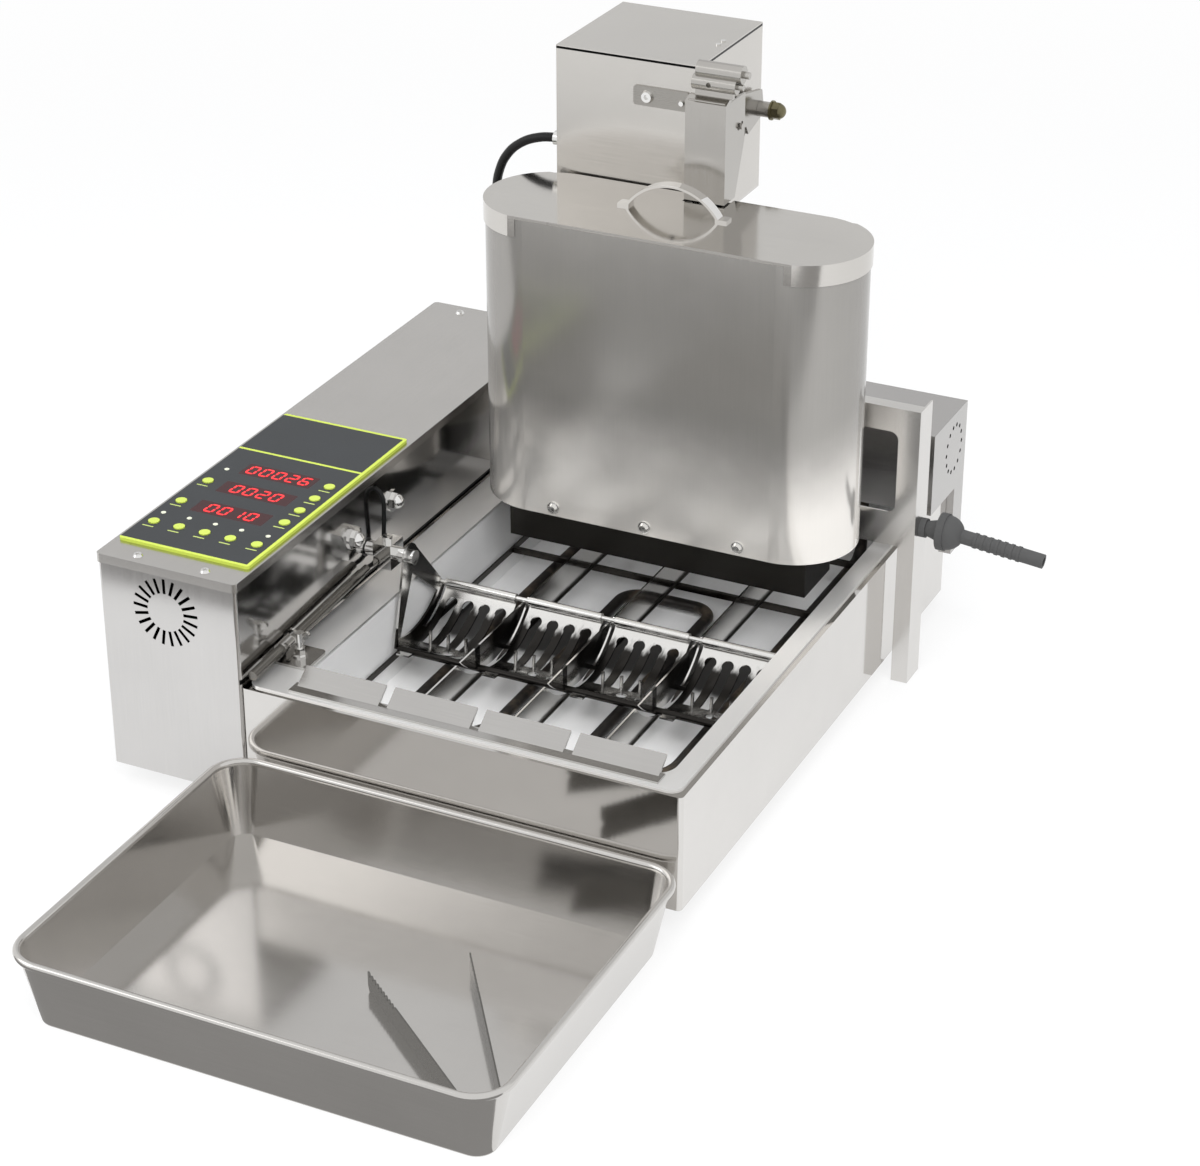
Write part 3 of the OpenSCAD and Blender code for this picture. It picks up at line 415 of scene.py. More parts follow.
@dataclass(frozen=True)
class DarkBelowSteel(Finish):
    """Sheet steel that is darker below a height, in millimetres."""

    name: str
    level: float
    span: float
    bright: Colour = (0.76, 0.75, 0.73)
    dark: Colour = (0.05, 0.046, 0.042)
    rough: float = 0.13
    lines: float = 0.08
    smudge: float = 0.1
    rough_where_dark: float = 0.16
    patches: float = 130.0
    brushing: float = 1700.0
    wander: float = 0.6
    relief: float = 6 * MICRON

    def build(self, graph: Graph) -> None:
        """Wires the dark part's uneven upper edge over the bright sheet.

        Args:
            graph: the material's graph.
        """
        _, _, z = graph.source()
        patch = graph.noise(self.patches, detail=4.0)
        fine = graph.noise(self.brushing, Grain.ALONG_X.value, detail=2.0)
        height = z + patch.sway(self.span * self.wander)
        clean = height.step(self.level - self.span / 2, self.level + self.span / 2)
        rough = fine.sway(self.lines) + patch.sway(self.smudge) + (1.0 - clean) * self.rough_where_dark + self.rough
        graph.set(metallic=1.0, roughness=rough, base_color=graph.mix(clean, self.dark, self.bright),
                  normal=graph.bump(fine, 0.5, self.relief))


@dataclass(frozen=True)
class TroughSteel(Finish):
    """Polished trough: bright by its rolled edge and its lip, with painted dark reflection between them; the
    lower bar is dark.

    The places are in millimetres along Y.
    """

    name: str
    rise: Span
    fall: Span
    bar: Span
    bright: Colour = (0.76, 0.75, 0.73)
    dark: Colour = (0.03, 0.028, 0.026)
    rough: float = 0.13
    lines: float = 0.06
    smudge: float = 0.08
    rough_where_dark: float = 0.1
    patches: float = 90.0
    stretch: Spot = (2.5, 1.0, 1.0)
    brushing: float = 1700.0
    wander: float = 14.0
    relief: float = 6 * MICRON

    def build(self, graph: Graph) -> None:
        """Wires the dark bands across the trough.

        Args:
            graph: the material's graph.
        """
        _, y, _ = graph.source()
        patch = graph.noise(self.patches, self.stretch, detail=4.0)
        fine = graph.noise(self.brushing, Grain.ALONG_X.value, detail=2.0)
        # painted dark reflection across the trough, between the rolled edge and the lip
        hollow = (y + patch.sway(self.wander)).band(self.rise, self.fall)
        bar = (y > self.bar[0]) * (y < self.bar[1])
        rough = fine.sway(self.lines) + patch.sway(self.smudge) + hollow * self.rough_where_dark + self.rough
        graph.set(metallic=1.0, roughness=rough,
                  base_color=graph.mix(hollow.most(bar), self.bright, self.dark),
                  normal=graph.bump(fine, 0.5, self.relief))


@dataclass(frozen=True)
class HeatedTube(Finish):
    """Heater tube darkened by hot oil, with straw-brown patches."""

    name: str
    dark: Colour = (0.035, 0.032, 0.03)
    warm: Colour = (0.16, 0.125, 0.09)
    metal: float = 0.7
    smooth: float = 0.3
    smudge: float = 0.25
    patches: float = 38.0
    patch_edge: Span = (0.45, 0.72)
    flecks: float = 420.0
    relief: float = 80 * MICRON

    def build(self, graph: Graph) -> None:
        """Wires the oxide patches.

        Args:
            graph: the material's graph.
        """
        patch = graph.noise(self.patches, detail=5.0, rough=0.65)
        fleck = graph.noise(self.flecks)
        graph.set(metallic=self.metal, roughness=patch * self.smudge + self.smooth,
                  base_color=graph.mix(patch.step(*self.patch_edge), self.dark, self.warm),
                  normal=graph.bump(fleck, 0.35, self.relief))


@dataclass(frozen=True)
class Moulded(Finish):
    """Moulded plastic or rubber with a fine spark-eroded skin."""

    name: str
    tint: Colour
    rough: float
    skin: float = 60 * MICRON
    pitch: float = 1300.0
    wear: float = 0.12
    gloss: float = 0.5
    smudge: float = 0.2
    grit: float = 0.1
    fading: float = 26.0

    def build(self, graph: Graph) -> None:
        """Wires the skin and a slight uneven fade.

        Args:
            graph: the material's graph.
        """
        skin = graph.noise(self.pitch, detail=2.0)
        fade = graph.noise(self.fading, detail=4.0)
        graph.set(roughness=fade.sway(self.smudge) + skin.sway(self.grit) + self.rough,
                  specular_ior_level=self.gloss,
                  base_color=graph.shades(fade, self.tint, (1 - self.wear, 1 + self.wear)),
                  normal=graph.bump(skin, 0.4, self.skin))


@dataclass(frozen=True)
class CastMetal(Finish):
    """Small turned or cast metal piece with dull patches."""

    name: str
    tint: Colour
    rough: float
    dull: float = 0.6
    smudge: float = 0.2
    lines: float = 0.1
    patches: float = 140.0
    patch_edge: Span = (0.3, 0.8)
    turning: float = 2600.0
    stretch: Spot = (1.0, 0.05, 1.0)
    relief: float = 20 * MICRON

    def build(self, graph: Graph) -> None:
        """Wires turning lines and tarnish.

        Args:
            graph: the material's graph.
        """
        patch = graph.noise(self.patches, detail=4.0)
        lines = graph.noise(self.turning, self.stretch, detail=2.0)
        graph.set(metallic=1.0, roughness=patch.sway(self.smudge) + lines.sway(self.lines) + self.rough,
                  base_color=graph.shades(patch.step(*self.patch_edge), self.tint, (1.0, self.dull)),
                  normal=graph.bump(lines, 0.3, self.relief))


@dataclass(frozen=True)
class Membrane(Finish):
    """Printed overlay: charcoal film with a lime line along three edges and a dividing line, in metres."""

    name: str
    low: Span
    high: Span
    divider: float
    film: Colour = (0.034, 0.037, 0.04)
    lime: Colour = (0.6, 0.72, 0.1)
    border: float = 2.3 * MM
    half_line: float = 1.1 * MM
    rough: float = 0.36
    gloss: float = 0.2
    smudge: float = 0.16
    grit: float = 0.12
    pitch: float = 1500.0
    fading: float = 30.0
    fade_span: Span = (0.85, 1.25)
    relief: float = 30 * MICRON

    def build(self, graph: Graph) -> None:
        """Wires the printed lines over the film.

        Args:
            graph: the material's graph.
        """
        x, y, _ = graph.axes()
        edge = (self.high[0] - x).least((y - self.low[1]).least(self.high[1] - y))
        line = (y - self.divider).size() < self.half_line
        skin = graph.noise(self.pitch, detail=2.0)
        fade = graph.noise(self.fading)
        film = graph.shades(fade, self.film, self.fade_span)
        graph.set(base_color=graph.mix((edge < self.border).most(line), film, self.lime),
                  roughness=skin.sway(self.grit) + fade.sway(self.smudge) + self.rough,
                  specular_ior_level=self.gloss, normal=graph.bump(skin, 0.3, self.relief))


@dataclass(frozen=True)
class Lamp(Finish):
    """Lit segment or lens."""

    name: str
    tint: Colour
    glow: float
    rough: float = 0.3
    patches: float = 240.0
    body_span: Span = (0.7, 1.0)
    glow_span: Span = (0.8, 1.0)

    def build(self, graph: Graph) -> None:
        """Wires a slightly uneven glow.

        Args:
            graph: the material's graph.
        """
        uneven = graph.noise(self.patches, detail=2.0)
        graph.set(base_color=graph.shades(uneven, self.tint, self.body_span), roughness=self.rough,
                  emission_color=graph.shades(uneven, self.tint, self.glow_span),
                  emission_strength=self.glow)


@dataclass(frozen=True)
class CircuitBoard(Finish):
    """Green board with faint tracks, whose waves are in radians per metre."""

    name: str
    tint: Colour = (0.03, 0.16, 0.07)
    across: float = 900.0
    along: float = 700.0
    track_edge: Span = (0.2, 0.4)
    track_shade: float = 1.8
    smooth: float = 0.3
    track_rough: float = 0.2

    def build(self, graph: Graph) -> None:
        """Wires the tracks.

        Args:
            graph: the material's graph.
        """
        x, y, _ = graph.axes()
        track = ((x * self.across).wave() * (y * self.along).wave()).step(*self.track_edge)
        graph.set(base_color=graph.shades(track, self.tint, (1.0, self.track_shade)),
                  roughness=track * self.track_rough + self.smooth)


class Steels:
    """Finishes of the sheet metal."""

    MIRROR = Steel("mirror_steel", (0.67, 0.655, 0.635), 0.07, Grain.NONE,
                   lines=0.02, smudge=0.07, relief=3 * MICRON)
    # painted glare: a near-white, almost non-metal colour stands in for the basin's bright reflections; the
    # band behind the turner is painted shade
    BASIN = Steel("basin_steel", (0.97, 0.965, 0.955), 0.34, Grain.ALONG_Y,
                  lines=0.08, smudge=0.1, relief=4 * MICRON, metal=0.08,
                  turner_shade=TurnerShadeBand(rise=(197.0, 211.0), fall=(257.0, 271.0), top=40.0))
    # the dark line at the wall's foot is a joint with painted shade in the gap by the flange
    INNER_WALL = Steel("housing_steel", (0.62, 0.61, 0.6), 0.11, Grain.ALONG_Z,
                       lines=0.07, smudge=0.08, relief=6 * MICRON, joint_shade=JointShadeLine(97.0, 1.7, -148.474))
    COVER = Steel("cover_steel", (0.56, 0.545, 0.525), 0.24, Grain.ALONG_Y,
                  lines=0.06, smudge=0.06, relief=4 * MICRON)
    # painted reflection: brighter low down, darker above, with less metal so that the lower part lights up
    HOPPER = Steel("hopper_steel", (0.6, 0.58, 0.55), 0.17, Grain.ALONG_Z,
                   lines=0.08, smudge=0.1, relief=6 * MICRON, metal=0.68, painted_reflection=PaintedReflection((140.0, 215.0)))
    LID = Steel("lid_steel", (0.64, 0.62, 0.59), 0.11, Grain.ALONG_X,
                lines=0.06, smudge=0.07, relief=4 * MICRON)
    MOTOR_BOX = Steel("motor_box_steel", (0.64, 0.62, 0.59), 0.22, Grain.ALONG_X,
                      lines=0.1, smudge=0.08, relief=8 * MICRON, joint_shade=JointShadeLine(406.4, 0.8))
    STAND = Steel("stand_steel", (0.68, 0.665, 0.645), 0.2, Grain.ALONG_Z,
                  lines=0.08, smudge=0.08, relief=6 * MICRON)
    HEAD = Steel("heater_head_steel", (0.5, 0.49, 0.48), 0.24, Grain.ALONG_X,
                 lines=0.1, smudge=0.08, relief=6 * MICRON)
    SLIDE = Steel("slide_steel", (0.5, 0.49, 0.475), 0.13, Grain.ALONG_X,
                  lines=0.1, smudge=0.1, relief=6 * MICRON)
    LANES = DarkBelowSteel("lane_steel", level=57.5, span=3.0)
    # painted dark reflection across the trough; its lower bar is dark
    SCOOP = TroughSteel("scoop_steel", rise=(147.0, 158.0), fall=(188.0, 196.0), bar=(132.0, 138.4))
    BLOCK = Steel("dosing_block", (0.05, 0.047, 0.043), 0.3, Grain.ALONG_X,
                  lines=0.1, smudge=0.12, relief=6 * MICRON)
    STRAP = Steel("strap_steel", (0.4, 0.385, 0.36), 0.3, Grain.ALONG_X, lines=0.12, smudge=0.1)
    HANDLE = Steel("handle_steel", (0.9, 0.89, 0.875), 0.05, Grain.ALONG_X,
                   lines=0.02, smudge=0.05, relief=3 * MICRON)
    BRIGHT = Steel("bright_steel", (0.78, 0.775, 0.76), 0.08, Grain.NONE,
                   lines=0.03, smudge=0.05, relief=3 * MICRON)
    # painted shade: darker than the box's steel, to set the lift parts off from the box's lit side
    BRACKET = Steel("bracket_steel", (0.47, 0.455, 0.43), 0.2, Grain.ALONG_Z, lines=0.12, smudge=0.12)
    TRAY = Steel("tray_steel", (0.6, 0.585, 0.565), 0.14, Grain.ALONG_X,
                 lines=0.05, smudge=0.06, relief=4 * MICRON)
    TONGS = Steel("tong_steel", (0.17, 0.165, 0.155), 0.26, Grain.ALONG_Y,
                  lines=0.08, smudge=0.1, relief=6 * MICRON)
    ROD = Steel("rod_steel", (0.2, 0.19, 0.175), 0.26, Grain.ALONG_Y,
                lines=0.1, smudge=0.15, relief=6 * MICRON)


class Others:
    """Finishes that aren't sheet metal."""

    TUBE = HeatedTube("heater_tube")
    RUBBER = Moulded("black_rubber", (0.012, 0.012, 0.012), 0.55, gloss=0.3)
    PLASTIC = Moulded("black_plastic", (0.005, 0.005, 0.0055), 0.32, 40 * MICRON, gloss=0.22)
    LEAD = Moulded("black_lead", (0.006, 0.006, 0.006), 0.4, 30 * MICRON, gloss=0.25)
    KEY = Moulded("lime_key", (0.58, 0.7, 0.1), 0.45, 30 * MICRON, pitch=1500.0, wear=0.08)
    WINDOW = Moulded("red_window", (0.045, 0.012, 0.014), 0.2, 6 * MICRON,
                     pitch=900.0, wear=0.2, gloss=0.2)
    PLUNGER = Moulded("white_plunger", (0.8, 0.79, 0.76), 0.4, 30 * MICRON)
    MARK = Moulded("lime_print", (0.5, 0.6, 0.16), 0.4, 10 * MICRON)
    DIGIT = Lamp("red_digit", (0.9, 0.016, 0.022), glow=0.95)
    LENS = Lamp("pale_lens", (0.82, 0.84, 0.68), glow=0.12)
    BOARD = CircuitBoard("circuit_board")
    MOTOR = CastMetal("motor_case", (0.3, 0.305, 0.31), 0.4)
    BRASS = CastMetal("olive_brass", (0.22, 0.2, 0.12), 0.34)


def coat(finish: Finish, *nodes: str) -> None:
    """Gives CAD nodes a finish.

    Args:
        finish: the finish.
        nodes: names of the nodes.
    """
    for name in nodes:
        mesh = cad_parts[name].data
        mesh.materials.clear()
        mesh.materials.append(finish.material())
        LOG.info("node %s: %s", name, finish.name)


def link(name: str, data: Any) -> bpy.types.Object:
    """Makes an object of its data, at the zero point, and puts it into the scene.

    Args:
        name: the object's name.
        data: its mesh, curve, lamp or camera.

    Returns:
        The object.
    """
    made = bpy.data.objects.new(name, data)
    bpy.context.scene.collection.objects.link(made)
    return made


def mesh_object(name: str, mesh: bmesh.types.BMesh, material: bpy.types.Material) -> bpy.types.Object:
    """Makes an object of a bmesh, which is freed.

    Args:
        name: the object's name.
        mesh: its shape.
        material: its material.

    Returns:
        The object.
    """
    data = bpy.data.meshes.new(name)
    mesh.to_mesh(data)
    mesh.free()
    data.materials.append(material)
    return link(name, data)


def bevelled_plate(mesh: bmesh.types.BMesh, long: float, wide: float, cut: float,
                   segments: int) -> List[bmesh.types.BMVert]:
    """Adds a flat plate with cut or rounded corners about the zero point.

    Args:
        mesh: the mesh that it goes into.
        long: its length along X.
        wide: its width along Y.
        cut: what each corner loses.
        segments: one for a cut corner, more for a round one.

    Returns:
        The plate's vertices.
    """
    made = bmesh.ops.create_grid(mesh, x_segments=1, y_segments=1, size=0.5)["verts"]
    bmesh.ops.scale(mesh, vec=(long, wide, 1), verts=made)
    shape = bmesh.ops.bevel(mesh, geom=made, offset=cut, affect="VERTICES", segments=segments, profile=0.5,
                            material=-1)
    return list(set(shape["verts"]))


def piece(name: str, mesh: bmesh.types.BMesh, finish: Finish, body: str) -> bpy.types.Object:
    """Makes a finished piece with flat faces from a bmesh whose place is in its vertices.

    Args:
        name: the piece's name.
        mesh: its shape, freed afterwards.
        finish: its finish.
        body: the body that it moves with.

    Returns:
        The object.
    """
    bmesh.ops.remove_doubles(mesh, verts=mesh.verts, dist=MICRON)
    bmesh.ops.recalc_face_normals(mesh, faces=mesh.faces)
    made = mesh_object(name, mesh, finish.material())
    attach(made, body)
    LOG.info("piece %s: %d faces on %s", name, len(made.data.polygons), body)
    return made


class Assembly:
    """A sub-assembly dresses its solids and builds the pieces that only the scene has."""

    def dress(self) -> None:
        """Gives the solids their finishes."""
        raise NotImplementedError

    def build(self) -> List[bpy.types.Object]:
        """Builds the scene's own pieces, of which most sub-assemblies have none."""
        return []


@dataclass
class Tank(Assembly):
    """Oil tank with basin, heater and feet."""

    flange_depth: float = 2.0

    def dress(self) -> None:
        """Gives the tank's solids their finishes, with the basin's flange kept plain."""
        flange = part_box("basin")[1].z / MM
        coat(replace(Steels.BASIN, rim=Rim(flange - self.flange_depth)), "basin")
        coat(Steels.MIRROR, "tank_casing")
        coat(Others.RUBBER, "feet")
        coat(Others.TUBE, "heating_element")
        coat(Steels.HEAD, "heater_head")


@dataclass
class SegmentDisplay:
    """One row of seven-segment digits behind a red window."""

    name: str
    middle: Vector
    text: str
    high: float = 9.6 * MM
    wide: float = 5.6 * MM
    stroke: float = 1.45 * MM
    gap: float = 0.35 * MM
    point: float = 0.46
    pitch: float = 9.6 * MM
    slant: float = 0.12
    rise: float = 0.12 * MM
    LIT = {"0": "abcdef", "1": "bc", "2": "abged", "3": "abgcd", "4": "fgbc", "5": "afgcd", "6": "afgedc",
           "7": "abc", "8": "abcdefg", "9": "abcdfg"}

    def bars(self) -> Dict[str, Tuple[float, float, bool]]:
        """Places of the seven bars: x, y and whether a bar lies flat.

        Returns:
            The places by the bars' letters.
        """
        w, h = self.wide / 2, self.high / 2
        return {"a": (0, h, True), "g": (0, 0, True), "d": (0, -h, True), "f": (-w, h / 2, False),
                "b": (w, h / 2, False), "e": (-w, -h / 2, False), "c": (w, -h / 2, False)}

    def bar(self, mesh: bmesh.types.BMesh, x: float, y: float, flat: bool) -> None:
        """Adds one pointed bar.

        Args:
            mesh: the display's mesh.
            x: middle of the bar from the digits' middle.
            y: middle of the bar from the digits' middle.
            flat: whether it lies along X.
        """
        long = (self.wide if flat else self.high / 2) - self.gap
        base = bevelled_plate(mesh, long, self.stroke, self.stroke * self.point, 1)
        faces = list({f for v in base for f in v.link_faces})
        top = bmesh.ops.extrude_face_region(mesh, geom=faces)["geom"]
        raised = [v for v in top if isinstance(v, bmesh.types.BMVert)]
        bmesh.ops.translate(mesh, vec=(0, 0, self.rise), verts=raised)
        whole = list({v for f in faces for v in f.verts} | set(raised))
        if not flat:
            upright = Matrix.Rotation(math.pi / 2, 3, "Z")
            bmesh.ops.rotate(mesh, cent=(0, 0, 0), matrix=upright, verts=whole)
        bmesh.ops.translate(mesh, vec=(x + y * self.slant, y, 0), verts=whole)

    def build(self) -> bpy.types.Object:
        """Builds the lit digits as one piece.

        Returns:
            The piece.
        """
        mesh = bmesh.new()
        first = -self.pitch * (len(self.text) - 1) / 2
        for i, sign in enumerate(self.text):
            for letter in self.LIT[sign]:
                x, y, flat = self.bars()[letter]
                self.bar(mesh, first + i * self.pitch + x, y, flat)
        bmesh.ops.translate(mesh, vec=self.middle, verts=mesh.verts)
        return piece(self.name, mesh, Others.DIGIT, ROOT)


@dataclass
class ControlBox(Assembly):
    """Control box with membrane panel, digits and printed marks, in the source's millimetres."""

    panel_top: float = 167.0
    window_x: float = -197.5
    rows: Tuple[Tuple[float, str], ...] = ((136.0, "00026"), (108.0, "0020"), (78.0, "0010"))
    digit_lift: float = 0.02
    divider_y: float = 162.0
    mark_size: Span = (8.0, 1.1)
    mark_round: float = 0.4
    mark_gap: float = 2.6
    mark_lift: float = 0.03
    mark_thick: float = 0.04
    KEYS = tuple("key_%d" % i for i in range(1, 12))

    def dress(self) -> None:
        """Gives the box's solids their finishes."""
        low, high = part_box("panel_overlay")
        film = Membrane("panel_film", tuple(low)[:2], tuple(high)[:2], at(0, self.divider_y, 0).y)
        coat(film, "panel_overlay")
        coat(Steels.INNER_WALL, "control_housing", "control_base")
        coat(Steels.COVER, "control_cover")
        coat(Steels.BRIGHT, "cover_screws", "dome_nuts")
        coat(Others.KEY, *self.KEYS)
        coat(Others.WINDOW, "digit_windows")
        coat(Others.LENS, "indicator_lights")
        coat(Others.BOARD, "control_board")
        coat(Others.MOTOR, "turner_motor")

    def marks(self) -> bpy.types.Object:
        """Builds the short printed bars beside the keys.

        Returns:
            The piece.
        """
        mesh = bmesh.new()
        long, wide = (size * MM for size in self.mark_size)
        for key in self.KEYS:
            low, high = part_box(key)
            bar = bevelled_plate(mesh, long, wide, self.mark_round * MM, 2)
            spot = Vector(((low.x + high.x) / 2, low.y - self.mark_gap * MM,
                           (self.panel_top + self.mark_lift) * MM))
            bmesh.ops.translate(mesh, vec=spot, verts=bar)
        bmesh.ops.solidify(mesh, geom=mesh.faces, thickness=self.mark_thick * MM)
        return piece("key_marks", mesh, Others.MARK, ROOT)

    def build(self) -> List[bpy.types.Object]:
        """Builds the digits and marks.

        Returns:
            The pieces.
        """
        made = []
        for i, (y, text) in enumerate(self.rows, start=1):
            middle = at(self.window_x, y, self.panel_top + self.digit_lift)
            made.append(SegmentDisplay("digits_%d" % i, middle, text).build())
        return made + [self.marks()]


@dataclass
class Lanes(Assembly):
    """Lane dividers, exit slide, probe rod with its clamp, and the turner."""

    def dress(self) -> None:
        """Gives the solids their finishes."""
        coat(Steels.LANES, "lane_frame")
        coat(Steels.SLIDE, "exit_slide", "probe_clamp")
        coat(Steels.ROD, "probe_rod")
        coat(Steels.BRIGHT, "wing_bolt", "turner_shaft", "turner_rod", "drive_hub")
        coat(Steels.SCOOP, "turner_scoops")


@dataclass
class Hopper(Assembly):
    """Hopper with lid, nozzles and plungers, and the stand that carries it."""

    def dress(self) -> None:
        """Gives the solids their finishes."""
        coat(Steels.HOPPER, "hopper")
        coat(Steels.LID, "hopper_lid")
        coat(Steels.HANDLE, "lid_handle")
        coat(Steels.BRIGHT, "hopper_screws", "lift_rods")
        coat(Steels.BLOCK, "nozzles")
        coat(Others.PLUNGER, "plungers")
        coat(Steels.BRACKET, "plunger_yoke")
        coat(Steels.STAND, "stand")
        coat(Others.PLASTIC, "power_gland")


@dataclass
class MotorBox(Assembly):
    """Motor box with its lift linkage."""

    def dress(self) -> None:
        """Gives the solids their finishes."""
        coat(Steels.MOTOR_BOX, "motor_housing")
        coat(Steels.STRAP, "strap")
        coat(Steels.BRACKET, "lift_head", "barrel_clamp", "rocker_lever", "lever_stud")
        coat(Steels.BRIGHT, "box_screws", "cable_glands")
        coat(Others.MOTOR, "dosing_motor")
        coat(Others.BRASS, "acorn_nut")


@dataclass
class Tray(Assembly):
    """Collecting tray with the tongs lying in it."""

    def dress(self) -> None:
        """Gives the solids their finishes."""
        coat(Steels.TRAY, "tray")
        coat(Steels.TONGS, "tongs_fixed_arm", "tongs_free_arm")


@dataclass
class Cable:
    """A round cable along its route from one housing into another piece, in the source's millimetres."""

    name: str
    node: str
    route: Sequence[Spot]
    across: float
    stiffness: str
    steps: int = 10
    sides: int = 5

    def build(self) -> bpy.types.Object:
        """Builds the cable as a smooth curve through its route.

        Returns:
            The piece.
        """
        data = bpy.data.curves.new(self.name, "CURVE")
        data.dimensions = "3D"
        data.resolution_u = self.steps
        data.bevel_depth = self.across * MM / 2
        data.bevel_resolution = self.sides
        data.use_fill_caps = True
        spline = data.splines.new("BEZIER")
        spline.bezier_points.add(len(self.route) - 1)
        for point, spot in zip(spline.bezier_points, self.route):
            point.co = at(*spot)
            point.handle_left_type = point.handle_right_type = "AUTO"
        data.materials.append(Others.LEAD.material())
        made = link(self.name, data)
        bpy.context.view_layer.update()
        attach(made, ROOT)
        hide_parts(self.node)
        LOG.info("piece %s: cable on %s", self.name, ROOT)
        return made


MOTOR_CABLE = Cable("motor_cable_sheath", "motor_cable", (
    (-92, 350, 340), (-106, 350, 340), (-118, 350, 338), (-131, 351, 332), (-142, 353, 322),
    (-150, 356, 308), (-155, 361, 291), (-158, 368, 270), (-160, 376, 245), (-162, 383, 217),
    (-161.5, 388, 195), (-161.5, 390, 179), (-161.5, 390, 159)), 6.2, "medium")
PROBE_LEAD = Cable("probe_lead_sheath", "probe_lead", (
    (-151.5, 170, 154), (-148.5, 170, 154), (-145, 170, 153), (-142.3, 170, 150), (-141.1, 170, 145),
    (-141.1, 170, 137), (-141.5, 170, 127), (-142, 169.5, 118), (-142.5, 167, 112), (-142.5, 162, 108),
    (-142.5, 156, 106.8), (-142.5, 151, 107.2), (-142.5, 147.8, 107.4)), 3.0, "limp")


@dataclass(frozen=True)
class SoftLamp:
    """A soft square lamp: place, aim and side in metres, power in watts, and whether shiny faces show it."""

    name: str
    spot: Spot
    aim: Spot
    wide: float
    power: float
    mirrored: bool = False

    def build(self) -> None:
        """Adds the lamp to the scene."""
        data = bpy.data.lights.new(self.name, "AREA")
        data.size = self.wide
        data.energy = self.power
        made = link(self.name, data)
        made.location = self.spot
        made.rotation_euler = (Vector(self.aim) - Vector(self.spot)).to_track_quat("-Z", "Y").to_euler()
        made.visible_glossy = self.mirrored


@dataclass(frozen=True)
class Card:
    """A flat stage piece: the floor, or a card that only the metal mirrors.

    The corners are in metres. The lit share of the colour shows as it is, without light. Only the floor
    has a fade: the distances between which it passes into the plain backdrop.
    """

    name: str
    corners: Sequence[Spot]
    tint: Colour
    lit: float = 1.0
    fade: Optional[Span] = None

    def finish(self) -> bpy.types.Material:
        """Makes the card's material.

        Returns:
            The material.
        """
        graph = Graph(self.name)
        graph.set(base_color=self.tint, roughness=0.9, specular_ior_level=0.0)
        share: Any = self.lit
        if self.fade is not None:
            x, y, _ = graph.axes()
            share = ((x * x + y * y) ** 0.5).step(*self.fade) * (1.0 - self.lit) + self.lit
        glow = graph.node("ShaderNodeEmission", None, {0: self.tint})
        shown = graph.node("ShaderNodeMixShader", None,
                           {0: share, 1: Sock(graph, graph.shader.outputs[0]), 2: glow})
        graph.feed(graph.out.inputs[0], shown)
        return graph.material

    def build(self) -> None:
        """Adds the card to the stage."""
        mesh = bmesh.new()
        mesh.faces.new([mesh.verts.new(corner) for corner in self.corners])
        made = mesh_object(self.name, mesh, self.finish())
        if self.fade is None:
            made.visible_camera = False
            made.visible_diffuse = False
            made.visible_shadow = False


def level_sheet(x: Span, y: Span, z: float) -> List[Spot]:
    """Corners of a level rectangle."""
    return [(x[0], y[0], z), (x[1], y[0], z), (x[1], y[1], z), (x[0], y[1], z)]


def upright_sheet(x: Span, y: float, z: Span) -> List[Spot]:
    """Corners of an upright rectangle that faces the front."""
    return [(x[0], y, z[0]), (x[1], y, z[0]), (x[1], y, z[1]), (x[0], y, z[1])]


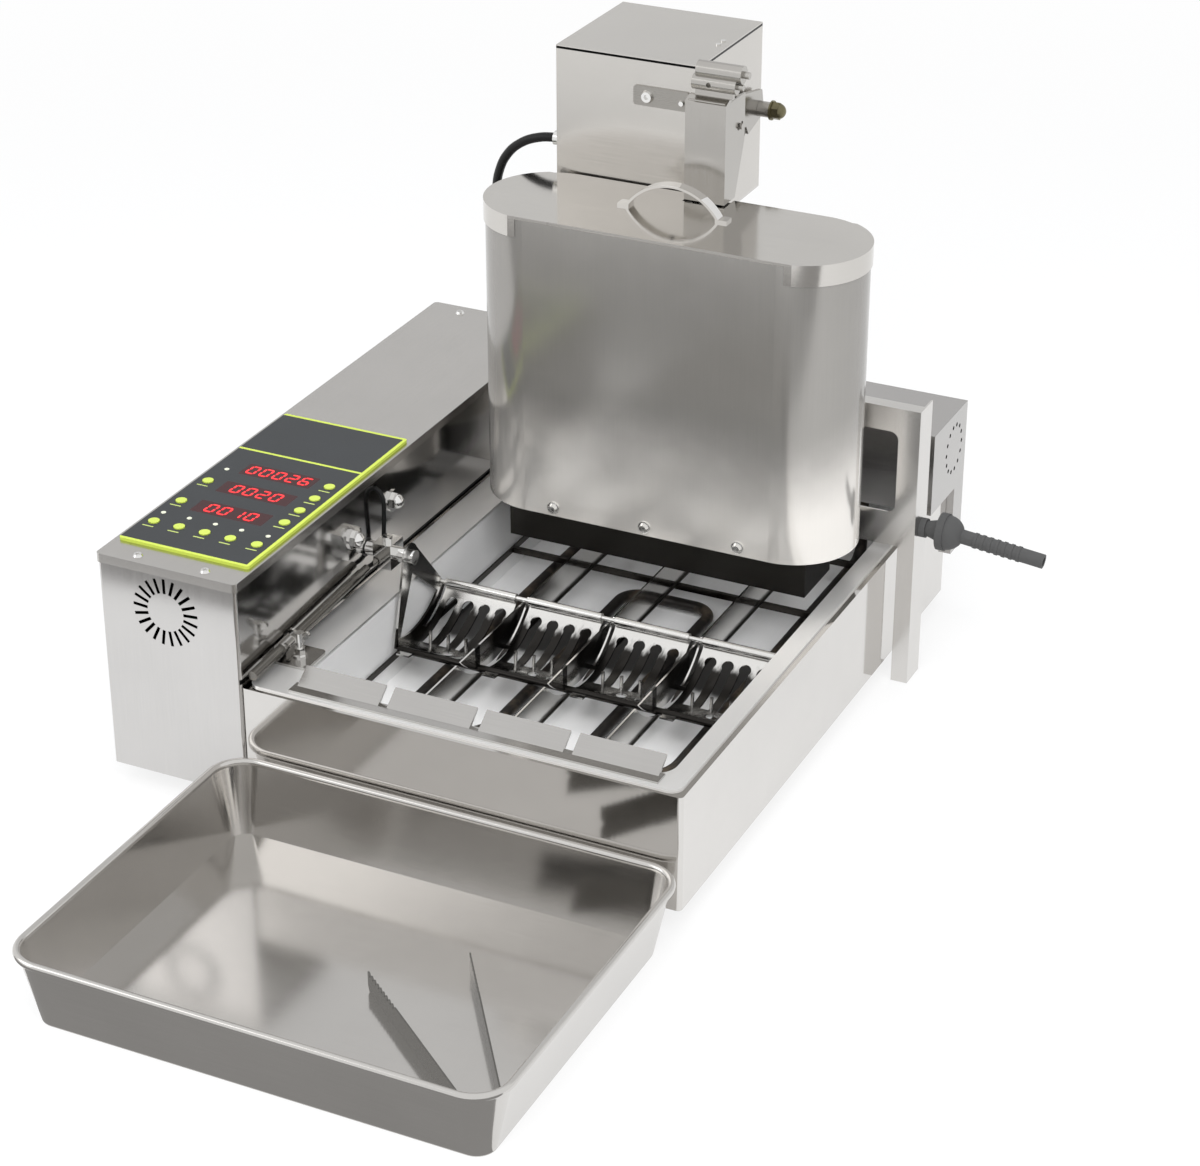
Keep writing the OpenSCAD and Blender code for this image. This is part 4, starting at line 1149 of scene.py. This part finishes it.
class Studio:
    """Camera, floor, soft light and the cards that the metal mirrors."""

    # fitted to the photograph: place in the source's millimetres, tilt and turn in degrees
    EYE = (747.8, -1361.2, 1025.0)
    TILT = 61.99
    TURN = 25.61
    LENS = 91.65
    SENSOR = 36.0
    REACH = 50.0
    # colour and strength of what lights the scene and of what is seen behind it
    DAYLIGHT = ((0.95, 0.97, 1.0), 0.55)
    BACKDROP = ((1.0, 1.0, 1.0), 1.0)
    LAMPS = (SoftLamp("key_lamp", (1.3, -0.9, 1.9), (0, 0, 0.15), 1.2, 16.0),
             SoftLamp("fill_lamp", (-1.5, -1.0, 1.3), (0, 0, 0.1), 1.4, 7.0, mirrored=True),
             SoftLamp("top_lamp", (0.0, 0.3, 2.2), (0, 0, 0.2), 1.6, 16.0),
             SoftLamp("front_lamp", (0.3, -1.2, 1.3), (0, 0.08, 0.04), 0.9, 13.0))
    CARDS = (Card("floor", level_sheet((-6, 6), (-6, 6), -0.0005), (1.0, 1.0, 1.0), 0.76, (0.7, 2.2)),
             Card("table_shade", level_sheet((-1.3, 0.9), (-0.62, -0.335), 0.0005), (0.36, 0.355, 0.35)),
             Card("back_shade", upright_sheet((-2.6, 1.6), 1.7, (0.3, 2.6)), (0.78, 0.78, 0.78)))

    def camera(self) -> None:
        """Sets the camera at the photograph's place."""
        data = bpy.data.cameras.new("camera")
        data.sensor_fit = "HORIZONTAL"
        data.sensor_width = self.SENSOR
        data.lens = self.LENS
        data.clip_end = self.REACH
        made = link("camera", data)
        made.location = at(*self.EYE)
        made.rotation_euler = (math.radians(self.TILT), 0.0, math.radians(self.TURN))
        bpy.context.scene.camera = made

    def world(self) -> None:
        """Sets a white backdrop over a plain light level."""
        world = bpy.data.worlds.new("studio")
        bpy.context.scene.world = world
        world.use_nodes = True
        tree = world.node_tree
        tree.nodes.clear()
        path = tree.nodes.new("ShaderNodeLightPath")
        seen = path.outputs["Is Camera Ray"]
        for ray in ("Is Glossy Ray", "Is Transmission Ray"):
            either = tree.nodes.new("ShaderNodeMath")
            either.operation = "MAXIMUM"
            tree.links.new(seen, either.inputs[0])
            tree.links.new(path.outputs[ray], either.inputs[1])
            seen = either.outputs[0]
        mix = tree.nodes.new("ShaderNodeMixShader")
        tree.links.new(seen, mix.inputs[0])
        for number, (colour, strength) in enumerate((self.DAYLIGHT, self.BACKDROP), start=1):
            light = tree.nodes.new("ShaderNodeBackground")
            light.inputs[0].default_value = (*colour, 1.0)
            light.inputs[1].default_value = strength
            tree.links.new(light.outputs[0], mix.inputs[number])
        out = tree.nodes.new("ShaderNodeOutputWorld")
        tree.links.new(mix.outputs[0], out.inputs[0])

    def build(self) -> None:
        """Builds the whole studio."""
        self.camera()
        self.world()
        for item in (*self.LAMPS, *self.CARDS):
            item.build()


def main() -> None:
    """Builds and dresses every sub-assembly in order."""
    logging.basicConfig(level=logging.INFO, format="%(message)s")
    bpy.context.scene.view_settings.view_transform = "Standard"
    Studio().build()
    MOTOR_CABLE.build()
    PROBE_LEAD.build()
    for assembly in (Tank(), ControlBox(), Lanes(), Hopper(), MotorBox(), Tray()):
        assembly.dress()
        assembly.build()
        LOG.info("assembly %s done", type(assembly).__name__)


if __name__ == "__main__":
    main()
